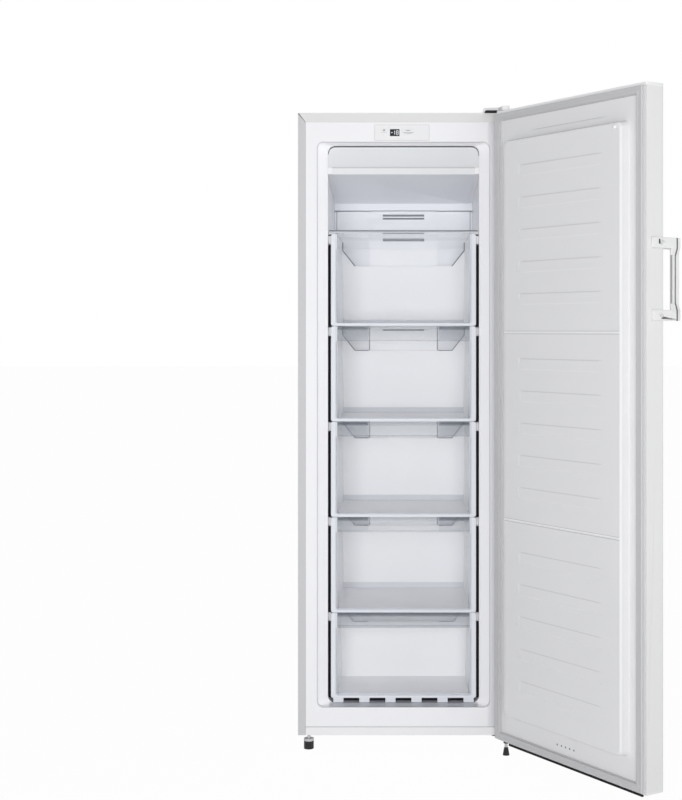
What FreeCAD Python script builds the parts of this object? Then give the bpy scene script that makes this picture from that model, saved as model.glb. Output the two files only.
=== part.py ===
import FreeCAD, Part
import math
import os

# Upright freezer: an insulated cabinet with five clear drawers, a freezing shelf above them,
# one hinged door and the cooling circuit. Millimetres. X runs to the right as seen from the
# front, Y to the back and Z up. The origin is on the floor, under the middle of the carcass.
# The door and all that it carries are drawn shut and then swung open about the hinge pins.

V = FreeCAD.Vector
UP = V(0, 0, 1)

# ------------------------------------------------------------------ carcass
CAB_W = 554.0  # outside width
CAB_D = 500.0  # depth without the door
CAB_TOP = 1675.0  # top panel above the floor
UNDERSIDE = 41.0  # base rails above the floor
SHEET = 0.8  # painted sheet steel
FLANGE_W = 20.0  # front flange of the side panels
TOP_FLANGE_H = 24.0  # front flange of the top panel
REAR_FLANGE = 15.0  # rear flanges of the side and top panels
MITRE_GAP = 1.2  # seam between the mitred front flanges
RAIL_H = 22.0  # base rails
RAIL_W = 34.0
RAIL_T = 2.0
RAIL_INSET = 10.0  # rail to the outside of the carcass
KICK_T = 2.0
KICK_RETURN = 15.0
PANEL_FIT = 0.3  # play round a panel that drops between others

# ------------------------------------------------------------------ cold room
LINER_T = 1.5
SIDE_WALL = 77.0  # insulated walls, from the outside to the inside
CEILING_WALL = 83.0
FLOOR_WALL = 77.0
CAV_DEPTH = 440.0  # from the front plane to the back wall
CAV_R = 20.0  # inside corners, seen from the front
MOUTH_D = 30.0  # depth of the flared mouth that the door's plug enters
PLUG_ROOM = 2.0  # straight part of the mouth beyond the shut door's plug
MOUTH_SIDE = 26.0  # flare at each side
MOUTH_TOP = 6.0
MOUTH_BOTTOM = 3.0
MOUTH_R = 15.0
HUMP_WALL = 56.0  # step over the compressor compartment, in front of it
HUMP_ROOF = 70.0  # and above it
NICHE_D = 170.0  # compressor compartment
NICHE_ROOM = 47.0  # its room above the drip tray

# ------------------------------------------------------------------ shelf and drawers
DRAWER_COUNT = 5
SHELF_DROP = 224.0  # ceiling to the top of the glass shelf
STACK_SETBACK = 32.0  # front plane to the drawer fronts
DRAWER_SIDE_GAP = 8.0  # drawer front to the side wall
DRAWER_GAP = 1.0  # between one drawer and the next
DRAWER_BACK_GAP = 3.0  # drawers to the wall behind them
LAST_SHORTER = 27.0  # how much less tall the bottom drawer is
HUMP_GAP = 10.0  # the bottom drawer stops this far before the step
DRAWER_T = 2.5
FRONT_D = 20.5  # a drawer front is a shallow tray
FRONT_SIDE = 13.3  # its rim at the sides
FRONT_BAND = 39.0  # and at the top, where the fingers hook in
FRONT_FOOT = 8.0
FRONT_CORNER = 6.0
RIM_W = 11.0  # hanging rims of a bin
BIN_DRAFT = 5.0  # a bin is narrower at its floor
RIM_T = 3.0
BACK_POST = 41.0  # how far the back wall's notch stays from the sides
BACK_NOTCH = 69.0  # its depth
BACK_NOTCH_TOP = 24.0  # where its slope starts
NUB_COUNT = 6
NUB_W = 27.0
NUB_H = 12.0
NUB_GAP = 1.0  # between the nubs and the floor
RUNNER_H = 22.0
RUNNER_PLAY = 0.4
RUNNER_SIDE_PLAY = 3.0
GLASS_T = 4.0
LEDGE_H = 4.0  # ledges that carry the shelf
TRIM_H = 6.0
TRIM_D = 8.0

# ------------------------------------------------------------------ air ducts
COVER_ROOM = 38.0  # evaporator's room, behind the wall that hides it
COVER_T = 2.0
COLUMN_HALF = 95.0
COLUMN_D = 10.0
COVER_PLAY = 0.3  # cover and duct to the side walls
COVER_GAP = 4.0  # below the cover
COVER_TOP_GAP = 2.0  # cover to the duct
SLOT_HALF = 60.0
CEILING_SLOTS = ((155.5, 6.0), (164.5, 5.0))  # below the ceiling, width
SHELF_SLOTS = ((-19.0, 8.0), (2.0, 8.0), (263.0, 5.0))  # below the shelf's top, width
DUCT_T = 2.5
DUCT_TOP_GAP = 2.0
DUCT_SIDE_GAP = 11.0  # side walls to the duct behind its fascia
FASCIA_H = 55.0
LIP_H = 18.5
LIP_D = 4.0
DUCT_REAR_DROP = 121.0  # ceiling to the rear end of the slanted underside
DUCT_REAR_H = 20.0

# ------------------------------------------------------------------ evaporator and fan
COIL_R = 4.0
COIL_BEND = 19.0
COIL_PASSES = 8
COIL_SIDE = 44.0  # end of the straight runs to the side wall
COIL_DROP = 78.0  # below the shelf's top
COIL_Y_BACK = 18.0  # coil axis in front of the back wall
FIN_T = 0.5
FIN_D = 28.0
FIN_PITCH = 12.0
FIN_FIT = 0.05
END_PLATE_T = 1.5  # the two outer fins, which stand on the back wall
END_PLATE_EDGE = 8.0
HEATER_R = 3.5
HEATER_PASSES = 2
HEATER_DROP = 45.0  # last run of the coil to the first of the heater
FAN_RISE = 33.0  # above the shelf's top
FAN_R = 44.0
FAN_SHROUD_R = 47.0
SHROUD_T = 2.0
FAN_BLADES = 5
HUB_R = 13.0
HUB_L = 11.0
BLADE_T = 1.4
BLADE_CHORD = 11.0
BLADE_PITCH = 32.0
SHAFT_R = 1.5
SHAFT_PLAY = 0.05
MOTOR_R = 17.0
MOTOR_L = 12.0
FAN_GAP = 1.0  # between the blades' hub and the motor
FAN_ARMS = 3
FAN_ARM_HALF = 4.0
BLADE_ROOT = 1.0  # how deep the blades start in the hub

# ------------------------------------------------------------------ cooling circuit
COMP_R = 66.0
RUBBER_H = 19.0  # compressor above its plate
COMP_H = 140.0
COMP_DOME = 26.0
COMP_X = 40.0
FOOT_SPAN_X = 75.0
FOOT_SPAN_Y = 50.0
FOOT_PLATE_T = 3.0
TERMINAL_IN = 26.0  # terminal box, from inside the shell to outside it
TERMINAL_OUT = 22.0
TERMINAL_HALF = 24.0
TERMINAL_LOW = 45.0  # above the shell's bottom
TERMINAL_HIGH = 100.0
SUCTION_R = 4.0
SUCTION_Z = 95.0
OUTLET_R = 3.0
OUTLET_Z = 60.0
FILLING_Z = 75.0
STUB_ANGLES = (150.0, 200.0, 235.0)
STUB_L = 14.0
MOUNT_R = 10.0
PLATE_T = 2.0
CONDENSER_R = 2.5
CONDENSER_BEND = 45.0
CONDENSER_PASSES = 4
CONDENSER_RISE = 55.0  # above the compressor compartment
CONDENSER_DROP = 115.0  # below the top
CONDENSER_PLAY = 0.3
DRIER_R = 8.0
DRIER_L = 90.0
DRIER_X = -76.0
DRIER_NECK_R = 2.7
DRIER_NECK_L = 12.0
CLIP_W = 20.0
CLIP_H = 14.0
CLIP_T = 2.0
TRAY_W = 200.0
TRAY_SHIFT = 24.0  # tray's middle, left of the compressor's
TRAY_FRONT = 20.0  # compartment's front wall to the tray
TRAY_REACH = 49 / 68  # share of the room behind the drain that the tray takes
TRAY_H = 26.0
TRAY_T = 2.0
TRAY_R = 8.0
DRAIN_R = 8.0
DRAIN_BORE = 6.5
DRAIN_FUNNEL = 14.0
DRAIN_IN = 17.0  # drain's axis in front of the back wall
BACK_COVER_T = 1.0
VENT_COUNT = 16
VENT_W = 8.0
VENT_PITCH = 19.0
VENT_H = 90.0
INLET_R = 10.0
INLET_BORE = 4.0
INLET_L = 12.0
INLET_COLLAR = 3.0
INLET_X = -216.0
INLET_DROP = 30.0  # below the compartment's roof

# ------------------------------------------------------------------ control panel
PANEL_W = 142.0
PANEL_H = 40.0
PANEL_X = -4.0
PANEL_DROP = 52.0  # its middle below the top
PANEL_D = 22.0
PANEL_PROUD = 2.0
PANEL_WALL = 2.0
PANEL_RIM = 2.5
WINDOW_W = 25.0
WINDOW_H = 18.5
WINDOW_X = -23.0
BUTTON_TRAVEL = 1.0
BUTTON_PLAY = 0.4
BUTTON_PROUD = 1.6
BUTTONS = {"button_freeze": (-51.0, 15.0, 9.0), "button_set": (12.0, 31.0, 13.0)}  # x, width, height
BUTTON_R = 2.5
COLLAR_W = 1.0  # the rim that keeps a button in the panel
COLLAR_T = 1.2
SWITCH_HALF = 3.0
DIGITS_INSET = 1.5
BOARD_T = 1.6
BOARD_SETBACK = 13.0

# ------------------------------------------------------------------ door
DOOR_T = 55.0
DOOR_GAP = 12.0  # front plane to the door's inner face, shut
DOOR_TOP_GAP = 3.0  # under the hinge's plate
DOOR_BOTTOM_GAP = 2.0
DOOR_OPEN = 124.2  # degrees from shut, as shown
DOOR_LIP = 12.0
DOOR_EDGE_R = 5.0
TOP_CAP_H = 8.0
BOTTOM_CAP_H = 6.0
PLUG_SIDE_CLEAR = 5.0  # plug to the mouth of the cold room
PLUG_TOP_CLEAR = 8.0
PLUG_BOTTOM_CLEAR = 3.0
PLUG_D = 25.0
PLUG_DRAFT = 3.0
PLUG_R = 15.0
PLUG_EDGE = 4.0
RIB_GROUPS = 3
RIBS = 5
RIB_DROP = 83.0  # plug's top to the first pocket
RIB_SPACE = 82.0  # left between two groups
RIB_END = 11.0  # left below the last group
RIB_SIDE = 66.0  # pocket to the plug's side
RIB_H = 27.0
RIB_D = 2.0
GROOVE_SHIFTS = (-4.0, 7.0)  # from where the next group starts
GROOVE_H = 5.0
SEAL_INSET = 4.0
SEAL_W = 20.0
SEAL_CLEAR = 0.8  # left to the cabinet, so that the shut seal is not crushed
SEAL_STEPS = ((0.0, 0.35), (3.5, 0.65), (1.2, 1.0))  # inset, share of the height where it ends

# ------------------------------------------------------------------ hinges and feet
PIN_R = 4.0
PIN_INSET = 10.0  # pin to the door's edge
PIN_BEHIND = 23.0  # pin to the door's inner face
PIN_PLAY = 0.06
PIN_L = 14.0
BUSH_R = 6.5
BUSH_FLANGE_R = 8.5
BUSH_FLANGE_T = 1.0
BUSH_END = 2.0  # sleeve beyond the pin
BUSH_ROOM = 2.0  # bore in the foam beyond the sleeve
HINGE_T = 3.0
TOP_HINGE_W = 62.0
HINGE_REACH = 9.0  # plate beyond the pin
TOP_HINGE_D = 42.0  # plate behind the front plane
TOP_HINGE_EDGE = 3.0
TOP_SCREWS = ((-20.0, -6.0), (2.0, 10.0), (20.0, -6.0))  # from the middle of the plate
HINGE_SLANT = 6.0  # the plate's slanted shoulder, before and behind the front plane
HINGE_COVER_H = 12.0
HINGE_COVER_T = 1.6
HINGE_COVER_R = 2.5
COVER_SHOULDER = (4.0, 14.0, 8.0)  # the cover's slanted shoulder
BOTTOM_HINGE_IN = 18.0  # plate inside the middle of the rail
BOTTOM_HINGE_EDGE = 2.0
BOTTOM_HINGE_D = 60.0
BOTTOM_SCREW_FIRST = 10.0
BOTTOM_SCREW_PITCH = 14.0
BOTTOM_SCREW_END = 4.0
SCREW_R = 2.4
SCREW_HEAD_R = 4.8
SCREW_HEAD_H = 3.0
SCREW_L = 14.0
STUD_R = 4.0
STUD_PLAY = 0.05
NUT_R = 7.0
NUT_H = 7.0
LEFT_FOOT_R = 13.0
LEFT_FOOT_H = 27.0
LEFT_FOOT_SETBACK = 25.0
RIGHT_FOOT_R = 8.8
RIGHT_FOOT_TOP_R = 5.5
RIGHT_FOOT_H = 19.0
REAR_FOOT_R = 12.0
REAR_FOOT_INSET = 40.0

# ------------------------------------------------------------------ handle
HANDLE_DROP = 450.0  # door's top to the handle's middle
HANDLE_H = 192.0
HANDLE_W = 29.0
HANDLE_GAP = 19.0  # finger room between the door and the bar
HANDLE_D = 31.0
HANDLE_SPLIT = 15.0  # where the inner shell meets the outer one
HANDLE_SEAM = 4.5
HANDLE_TOP_R = 14.0
HANDLE_TAIL_R = 40.0
HANDLE_EDGE = 3.0
HANDLE_CORE = 6.0  # the seam's core, inside the outline
GRIP_START = 8.0  # the grip's back is slanted from here, behind the bar's inner face,
GRIP_EDGE = 2.5  # to this thickness at the far edge
MOUNT_WRAP = 6.0  # how far the mounts stand out at the door's edge
MOUNT_PAD = 41.0  # length of the pad on the door's edge
MOUNT_H = 25.0
MOUNT_SLOPE = 16.0
MOUNT_POST = 14.5  # width of the lower post, under the curved tail
MOUNT_CLEAR = 0.3
HANDLE_SCREW_IN = 13.5  # screw behind the door's front

# ------------------------------------------------------------------ places worked out from the above
HALF = CAB_W / 2
FRONT = -CAB_D / 2
BACK = CAB_D / 2
INSIDE = HALF - SHEET
PAN_Z = UNDERSIDE + RAIL_H
KICK_TOP = PAN_Z - PANEL_FIT
RAIL_X = HALF - RAIL_INSET - RAIL_W / 2
CAV_HALF = HALF - SIDE_WALL  # half the inside width
CAV_BOTTOM = UNDERSIDE + FLOOR_WALL
CAV_TOP = CAB_TOP - CEILING_WALL
CAV_BACK = FRONT + CAV_DEPTH
COMP_BOTTOM = UNDERSIDE + PLATE_T + RUBBER_H
NICHE_FRONT = BACK - NICHE_D
NICHE_TOP = COMP_BOTTOM + COMP_H + TRAY_H + NICHE_ROOM
HUMP_FRONT = NICHE_FRONT - HUMP_WALL
HUMP_TOP = NICHE_TOP + HUMP_ROOF
DRAIN_Y = CAV_BACK - DRAIN_IN
CONDENSER_BOTTOM = NICHE_TOP + CONDENSER_RISE
CONDENSER_TOP = CAB_TOP - CONDENSER_DROP
STUBS = tuple(
    zip(STUB_ANGLES, (SUCTION_R, OUTLET_R, OUTLET_R), (SUCTION_Z, OUTLET_Z, FILLING_Z))
)
STACK_FRONT = FRONT + STACK_SETBACK
STACK_TOP = CAV_TOP - SHELF_DROP  # top of the glass shelf
LAST_DRAWER_BOTTOM = CAV_BOTTOM + NUB_H + NUB_GAP
DRAWER_PITCH = (STACK_TOP - LAST_DRAWER_BOTTOM + LAST_SHORTER + DRAWER_GAP) / DRAWER_COUNT
COVER_FRONT = CAV_BACK - COVER_ROOM
DRAWER_LEN = COVER_FRONT - COLUMN_D - DRAWER_BACK_GAP - STACK_FRONT
LAST_DRAWER_LEN = HUMP_FRONT - HUMP_GAP - STACK_FRONT
DRAWER_HALF = CAV_HALF - DRAWER_SIDE_GAP  # half the width of a drawer front
BIN_HALF = DRAWER_HALF - RIM_W
RUNNER_IN = BIN_HALF + RUNNER_SIDE_PLAY
DUCT_REAR_Z = CAV_TOP - DUCT_REAR_DROP
SLOTS = [(CAV_TOP - drop, width) for drop, width in CEILING_SLOTS]
SLOTS += [(STACK_TOP - drop, width) for drop, width in SHELF_SLOTS]
COIL_Y = CAV_BACK - COIL_Y_BACK
COIL_HALF = CAV_HALF - COIL_SIDE
COIL_TOP = STACK_TOP - COIL_DROP
FAN_Z = STACK_TOP + FAN_RISE
PANEL_Z = CAB_TOP - PANEL_DROP
DOOR_TOP = CAB_TOP - DOOR_TOP_GAP
DOOR_BOTTOM = UNDERSIDE + DOOR_BOTTOM_GAP
DOOR_IN = FRONT - DOOR_GAP
DOOR_OUT = DOOR_IN - DOOR_T
SKIN_BOTTOM = DOOR_BOTTOM + BOTTOM_CAP_H
SKIN_TOP = DOOR_TOP - TOP_CAP_H
PIN_X = HALF - PIN_INSET
PIN_Y = DOOR_IN - PIN_BEHIND
PLUG_FACE = DOOR_IN + PLUG_D
PLUG_HALF = CAV_HALF + MOUTH_SIDE - PLUG_SIDE_CLEAR
PLUG_TOP = CAV_TOP + MOUTH_TOP - PLUG_TOP_CLEAR
PLUG_BOTTOM = CAV_BOTTOM - MOUTH_BOTTOM + PLUG_BOTTOM_CLEAR
RIB_FIRST = PLUG_TOP - RIB_DROP
RIB_GROUP_PITCH = (PLUG_TOP - PLUG_BOTTOM - RIB_END) / RIB_GROUPS
RIB_PITCH = (RIB_GROUP_PITCH - RIB_SPACE) / RIBS
RIB_HALF = PLUG_HALF - RIB_SIDE
GROOVES = [PLUG_TOP - RIB_GROUP_PITCH * (g + 1) + d for g, d in enumerate(GROOVE_SHIFTS)]
MOUTH_BEND = PLUG_FACE + PLUG_ROOM
HANDLE_IN = DOOR_OUT - HANDLE_GAP
HANDLE_OUT = HANDLE_IN - HANDLE_D
HANDLE_Z = DOOR_TOP - HANDLE_DROP
HANDLE_TOP = HANDLE_Z + HANDLE_H / 2
HANDLE_BOTTOM = HANDLE_Z - HANDLE_H / 2


# ------------------------------------------------------------------ small builders
def box(x0, x1, y0, y1, z0, z1):
    return Part.makeBox(x1 - x0, y1 - y0, z1 - z0, V(x0, y0, z0))


def cylinder(radius, start, end):
    way = end - start
    return Part.makeCylinder(radius, way.Length, start, way)


def face_of(points):
    return Part.Face(Part.makePolygon(points + points[:1]))


def prism_x(points, x0, x1):
    """Outline of (y, z) points, drawn out along X."""
    return face_of([V(x0, y, z) for y, z in points]).extrude(V(x1 - x0, 0, 0))


def prism_y(points, y0, y1):
    """Outline of (x, z) points, drawn out along Y."""
    return face_of([V(x, y0, z) for x, z in points]).extrude(V(0, y1 - y0, 0))


def prism_z(points, z0, z1):
    """Outline of (x, y) points, drawn out along Z."""
    return face_of([V(x, y, z0) for x, y in points]).extrude(V(0, 0, z1 - z0))


def fuse(shapes):
    return shapes[0].fuse(shapes[1:]).removeSplitter()


def cut(shape, tools):
    return shape.cut(tools)


def group(solids):
    return Part.makeCompound(solids)


def round_edges(shape, radius, wanted):
    """Fillet the edges whose middle and direction the function accepts."""
    chosen = []
    for edge in shape.Edges:
        first, last = edge.firstVertex().Point, edge.lastVertex().Point
        way = last - first
        if way.Length > 1e-6 and wanted((first + last) * 0.5, way.normalize()):
            chosen.append(edge)
    return shape.makeFillet(radius, chosen)


def along(way, axis):
    return abs(abs(way.dot(axis)) - 1) < 1e-6


def rounded_rectangle(half, z0, z1, radius, y):
    """Wire in the plane y, with four straight edges and four arcs."""
    k = radius * (1 - math.sqrt(0.5))
    x0, x1 = -half, half
    edges = []
    corners = (
        ((x0 + radius, z0), (x1 - radius, z0), (x1 - k, z0 + k), (x1, z0 + radius)),
        ((x1, z0 + radius), (x1, z1 - radius), (x1 - k, z1 - k), (x1 - radius, z1)),
        ((x1 - radius, z1), (x0 + radius, z1), (x0 + k, z1 - k), (x0, z1 - radius)),
        ((x0, z1 - radius), (x0, z0 + radius), (x0 + k, z0 + k), (x0 + radius, z0)),
    )
    for start, stop, bulge, end in corners:
        a, b, c, d = (V(p[0], y, p[1]) for p in (start, stop, bulge, end))
        edges.append(Part.makeLine(a, b))
        edges.append(Part.Arc(b, c, d).toShape())
    return Part.Wire(edges)


def loft(wires):
    return Part.makeLoft(wires, True, True)


def serpentine(radius, passes, bend, half, axis_along, axis_across, start):
    """Tube of parallel runs joined by half rings: runs lie along one axis, stacked on the other."""
    pieces = []
    for i in range(passes):
        middle = start - axis_across * (2 * bend * i)
        pieces.append(cylinder(radius, middle - axis_along * half, middle + axis_along * half))
        if i + 1 < passes:
            side = 1 if i % 2 == 0 else -1
            end = middle + axis_along * (half * side)
            ring = Part.Face(Part.Wire(Part.makeCircle(radius, end, axis_along)))
            centre = end - axis_across * bend
            turn = axis_across.cross(axis_along) * side
            pieces.append(ring.revolve(centre, turn, 180))
    return fuse(pieces)


def opened(shape):
    """Swing a piece of the door from shut to where it is shown."""
    turned = shape.copy()
    turned.rotate(V(PIN_X, PIN_Y, 0), UP, DOOR_OPEN)
    return turned


# ------------------------------------------------------------------ shell
def side_panel(side):
    top = CAB_TOP - SHEET
    web = box(INSIDE, HALF, FRONT, BACK, UNDERSIDE, top)
    inner = HALF - FLANGE_W
    flange = prism_y(
        [
            (inner, UNDERSIDE),
            (HALF, UNDERSIDE),
            (HALF, top - MITRE_GAP),
            (inner, CAB_TOP - TOP_FLANGE_H - MITRE_GAP),
        ],
        FRONT,
        FRONT + SHEET,
    )
    rear = box(HALF - REAR_FLANGE, HALF, BACK - 2 * SHEET, BACK - SHEET, NICHE_TOP, top)
    panel = fuse([web, flange, rear])
    return panel if side > 0 else panel.mirror(V(0, 0, 0), V(1, 0, 0))


def top_panel():
    web = box(-HALF, HALF, FRONT, BACK, CAB_TOP - SHEET, CAB_TOP)
    inner = HALF - FLANGE_W
    low = CAB_TOP - TOP_FLANGE_H
    corner = INSIDE - MITRE_GAP
    flange = prism_y(
        [
            (-inner, low),
            (inner, low),
            (corner, CAB_TOP - SHEET),
            (-corner, CAB_TOP - SHEET),
        ],
        FRONT,
        FRONT + SHEET,
    )
    inside = HALF - REAR_FLANGE - PANEL_FIT
    rear = box(-inside, inside, BACK - 2 * SHEET, BACK - SHEET, CAB_TOP - REAR_FLANGE, CAB_TOP - SHEET)
    return cut(fuse([web, flange, rear]), top_screw_shanks())


def back_panel():
    inside = INSIDE - PANEL_FIT
    return box(-inside, inside, BACK - SHEET, BACK, NICHE_TOP, CAB_TOP - SHEET)


def floor_pan():
    """Stepped sheet under the foam, which is also the roof of the compressor compartment."""
    inside = INSIDE - PANEL_FIT
    z, t = PAN_Z, SHEET
    outline = [
        (FRONT + KICK_T, z),
        (NICHE_FRONT + t, z),
        (NICHE_FRONT + t, NICHE_TOP - t),
        (BACK - 2 * SHEET, NICHE_TOP - t),
        (BACK - 2 * SHEET, NICHE_TOP),
        (NICHE_FRONT, NICHE_TOP),
        (NICHE_FRONT, z + t),
        (FRONT + KICK_T, z + t),
    ]
    return cut(prism_x(outline, -inside, inside), [drain_hole()])


def base_frame():
    """Two channels from front to back, with the plate that carries the compressor welded between."""
    pieces = []
    for side in (-1, 1):
        x0, x1 = side * RAIL_X - RAIL_W / 2, side * RAIL_X + RAIL_W / 2
        front = FRONT + KICK_T + KICK_RETURN
        channel = box(x0, x1, front, BACK, UNDERSIDE, PAN_Z)
        hollow = box(x0 + RAIL_T, x1 - RAIL_T, front, BACK, UNDERSIDE + RAIL_T, PAN_Z)
        pieces.append(channel.cut(hollow))
    inner = RAIL_X - RAIL_W / 2
    pieces.append(box(-inner, inner, NICHE_FRONT, BACK, UNDERSIDE, UNDERSIDE + PLATE_T))
    at = left_foot_place()
    nut = cylinder(NUT_R, at + UP * UNDERSIDE, at + UP * (UNDERSIDE + NUT_H))
    frame = fuse(pieces + [nut])
    bore = cylinder(STUD_R + STUD_PLAY, at, at + UP * PAN_Z)
    return cut(frame, [bore] + bottom_screw_shanks())


def kick_panel():
    half = HALF - FLANGE_W - PANEL_FIT
    face = box(-half, half, FRONT, FRONT + KICK_T, UNDERSIDE, KICK_TOP)
    foot = box(-half, half, FRONT, FRONT + KICK_RETURN, UNDERSIDE, UNDERSIDE + KICK_T)
    return fuse([face, foot])


# ------------------------------------------------------------------ liner and foam
def cavity(grow):
    """Hollow of the cold room, made larger all round by the given amount."""
    back = CAV_BACK + grow
    room = box(
        -CAV_HALF - grow, CAV_HALF + grow, FRONT, back, CAV_BOTTOM - grow, CAV_TOP + grow
    )
    room = round_edges(room, CAV_R + grow, lambda middle, way: along(way, V(0, 1, 0)))
    step = box(
        -CAB_W, CAB_W, HUMP_FRONT + grow, back + CAB_D, CAV_BOTTOM - CAB_W, HUMP_TOP - grow
    )
    return room.cut(step)


def mouth(grow):
    """Mouth of the cold room: straight where the door's plug enters, then narrowing."""
    half = CAV_HALF + grow
    low, high = CAV_BOTTOM - grow, CAV_TOP + grow
    wires = [
        rounded_rectangle(half + MOUTH_SIDE, low - MOUTH_BOTTOM, high + MOUTH_TOP, MOUTH_R + grow, y)
        for y in (FRONT, MOUTH_BEND)
    ]
    wires.append(rounded_rectangle(half, low, high, CAV_R + grow, FRONT + MOUTH_D))
    return loft(wires)


def control_pocket(grow):
    return box(
        PANEL_X - PANEL_W / 2 + PANEL_RIM - grow,
        PANEL_X + PANEL_W / 2 - PANEL_RIM + grow,
        FRONT - PANEL_PROUD,
        FRONT + PANEL_D + grow,
        PANEL_Z - PANEL_H / 2 + PANEL_RIM - grow,
        PANEL_Z + PANEL_H / 2 - PANEL_RIM + grow,
    )


def inner_liner():
    half = HALF - FLANGE_W - PANEL_FIT
    rim = box(-half, half, FRONT, FRONT + LINER_T, PAN_Z, CAB_TOP - TOP_FLANGE_H - PANEL_FIT)
    outer = fuse([rim, mouth(LINER_T), cavity(LINER_T)])
    return outer.cut([mouth(0), cavity(0), control_pocket(PANEL_FIT), drain_hole()])


def cabinet_foam():
    """Foam as the seven plain blocks that surround the cold room, laid face to face."""
    x1, x0 = INSIDE - PANEL_FIT, CAV_HALF + LINER_T
    flare = x0 + MOUTH_SIDE
    front, deep, back = FRONT + LINER_T, FRONT + MOUTH_D, BACK - 2 * SHEET
    low, high = PAN_Z + SHEET, CAB_TOP - SHEET
    bend = MOUTH_BEND
    side = [(x1, front), (flare, front), (flare, bend), (x0, deep), (x0, back), (x1, back)]
    step_y, step_z = HUMP_FRONT + LINER_T, HUMP_TOP - LINER_T
    floor, roof = CAV_BOTTOM - LINER_T, CAV_TOP + LINER_T
    blocks = []
    for sign in (-1, 1):
        block = prism_z([(sign * x, y) for x, y in side], low, high)
        niche = box(-HALF, HALF, NICHE_FRONT, BACK, UNDERSIDE, NICHE_TOP)
        blocks.append(block.cut([niche] + condenser_grooves(sign)))
    rise, drop = roof + MOUTH_TOP, floor - MOUTH_BOTTOM
    top = [(front, high), (front, rise), (bend, rise), (deep, roof), (back, roof), (back, high)]
    blocks.append(prism_x(top, -x0, x0))
    base = [(front, low), (front, drop), (bend, drop), (deep, floor), (step_y, floor), (step_y, low)]
    blocks.append(prism_x(base, -x0, x0))
    blocks.append(box(-x0, x0, step_y, NICHE_FRONT, low, NICHE_TOP))
    blocks.append(box(-x0, x0, step_y, back, NICHE_TOP, step_z))
    blocks.append(box(-x0, x0, CAV_BACK + LINER_T, back, step_z, roof))
    flange = box(-HALF, HALF, FRONT, FRONT + LINER_T + PANEL_FIT, low, high)
    tools = [control_pocket(PANEL_FIT), drain_hole(), flange] + top_screw_shanks()
    solids = []
    for block in blocks:
        solids += block.cut(tools).Solids
    return group(solids)


# ------------------------------------------------------------------ cold room fittings
def evaporator_cover():
    half = CAV_HALF - COVER_PLAY
    bottom, top = HUMP_TOP + COVER_GAP, DUCT_REAR_Z - DUCT_REAR_H - COVER_TOP_GAP
    wall = box(-half, half, COVER_FRONT, COVER_FRONT + COVER_T, bottom, top)
    front = COVER_FRONT - COLUMN_D
    column = box(-COLUMN_HALF, COLUMN_HALF, front, COVER_FRONT + COVER_T, bottom, top)
    hollow = box(
        COVER_T - COLUMN_HALF,
        COLUMN_HALF - COVER_T,
        front + COVER_T,
        COVER_FRONT + COVER_T,
        bottom + COVER_T,
        top - COVER_T,
    )
    slots = [
        box(-SLOT_HALF, SLOT_HALF, front, front + COVER_T, z - h / 2, z + h / 2) for z, h in SLOTS
    ]
    return fuse([wall, column]).cut([hollow] + slots)


def coil_start():
    return V(0, COIL_Y, COIL_TOP)


def evaporator_tube():
    return serpentine(COIL_R, COIL_PASSES, COIL_BEND, COIL_HALF, V(1, 0, 0), UP, coil_start())


def heater_start():
    return coil_start() - UP * (2 * COIL_BEND * (COIL_PASSES - 1) + HEATER_DROP)


def straight_runs(start, passes, radius):
    reach, step = V(COIL_HALF, 0, 0), UP * (2 * COIL_BEND)
    middles = [start - step * i for i in range(passes)]
    return [cylinder(radius, middle - reach, middle + reach) for middle in middles]


def evaporator_fins():
    """Fins on the coil; the outer two are plates that carry it on the back wall, and the heater too."""
    runs = straight_runs(coil_start(), COIL_PASSES, COIL_R + FIN_FIT)
    runs += straight_runs(heater_start(), HEATER_PASSES, HEATER_R + FIN_FIT)
    top = COIL_TOP + COIL_BEND
    bottom = COIL_TOP - COIL_BEND * (2 * COIL_PASSES - 1)
    foot = heater_start().z - 2 * COIL_BEND * (HEATER_PASSES - 1) - HEATER_R - END_PLATE_EDGE
    front, back = COIL_Y - FIN_D / 2, COIL_Y + FIN_D / 2
    count = int(2 * COIL_HALF / FIN_PITCH)
    fins = []
    for i in range(count):
        x = (i - (count - 1) / 2) * FIN_PITCH
        if i in (0, count - 1):
            t, rear, low = END_PLATE_T, CAV_BACK - PANEL_FIT, foot
        else:
            t, rear, low = FIN_T, back, bottom
        fins.append(box(x - t / 2, x + t / 2, front, rear, low, top).cut(runs))
    return group(fins)


def defrost_heater():
    return serpentine(
        HEATER_R, HEATER_PASSES, COIL_BEND, COIL_HALF, V(1, 0, 0), UP, heater_start()
    )


def fan_planes():
    """Front of the frame, front of the hub, front and back of the motor, along Y."""
    frame = COVER_FRONT + COVER_T
    hub = frame + FAN_GAP
    motor = hub + HUB_L + FAN_GAP
    return frame, hub, motor, motor + MOTOR_L


def fan_axis(y):
    return V(0, y, FAN_Z)


def fan_frame():
    """Shroud on the back wall's inner side, with three arms that hold the motor."""
    frame, hub, motor, end = fan_planes()
    ring = cylinder(FAN_SHROUD_R + SHROUD_T, fan_axis(frame), fan_axis(end - SHROUD_T))
    ring = ring.cut(cylinder(FAN_SHROUD_R, fan_axis(frame), fan_axis(end)))
    collar = cylinder(MOTOR_R + SHROUD_T, fan_axis(motor), fan_axis(end - SHROUD_T))
    arms = []
    w = FAN_ARM_HALF
    for i in range(FAN_ARMS):
        arm = box(MOTOR_R, FAN_SHROUD_R + SHROUD_T / 2, motor, motor + SHROUD_T, -w, w)
        arm.rotate(V(0, 0, 0), V(0, 1, 0), 90 + 360 / FAN_ARMS * i)
        arm.translate(fan_axis(0))
        arms.append(arm)
    bore = cylinder(MOTOR_R, fan_axis(hub), fan_axis(end))
    return fuse([ring, collar] + arms).cut(bore)


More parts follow.
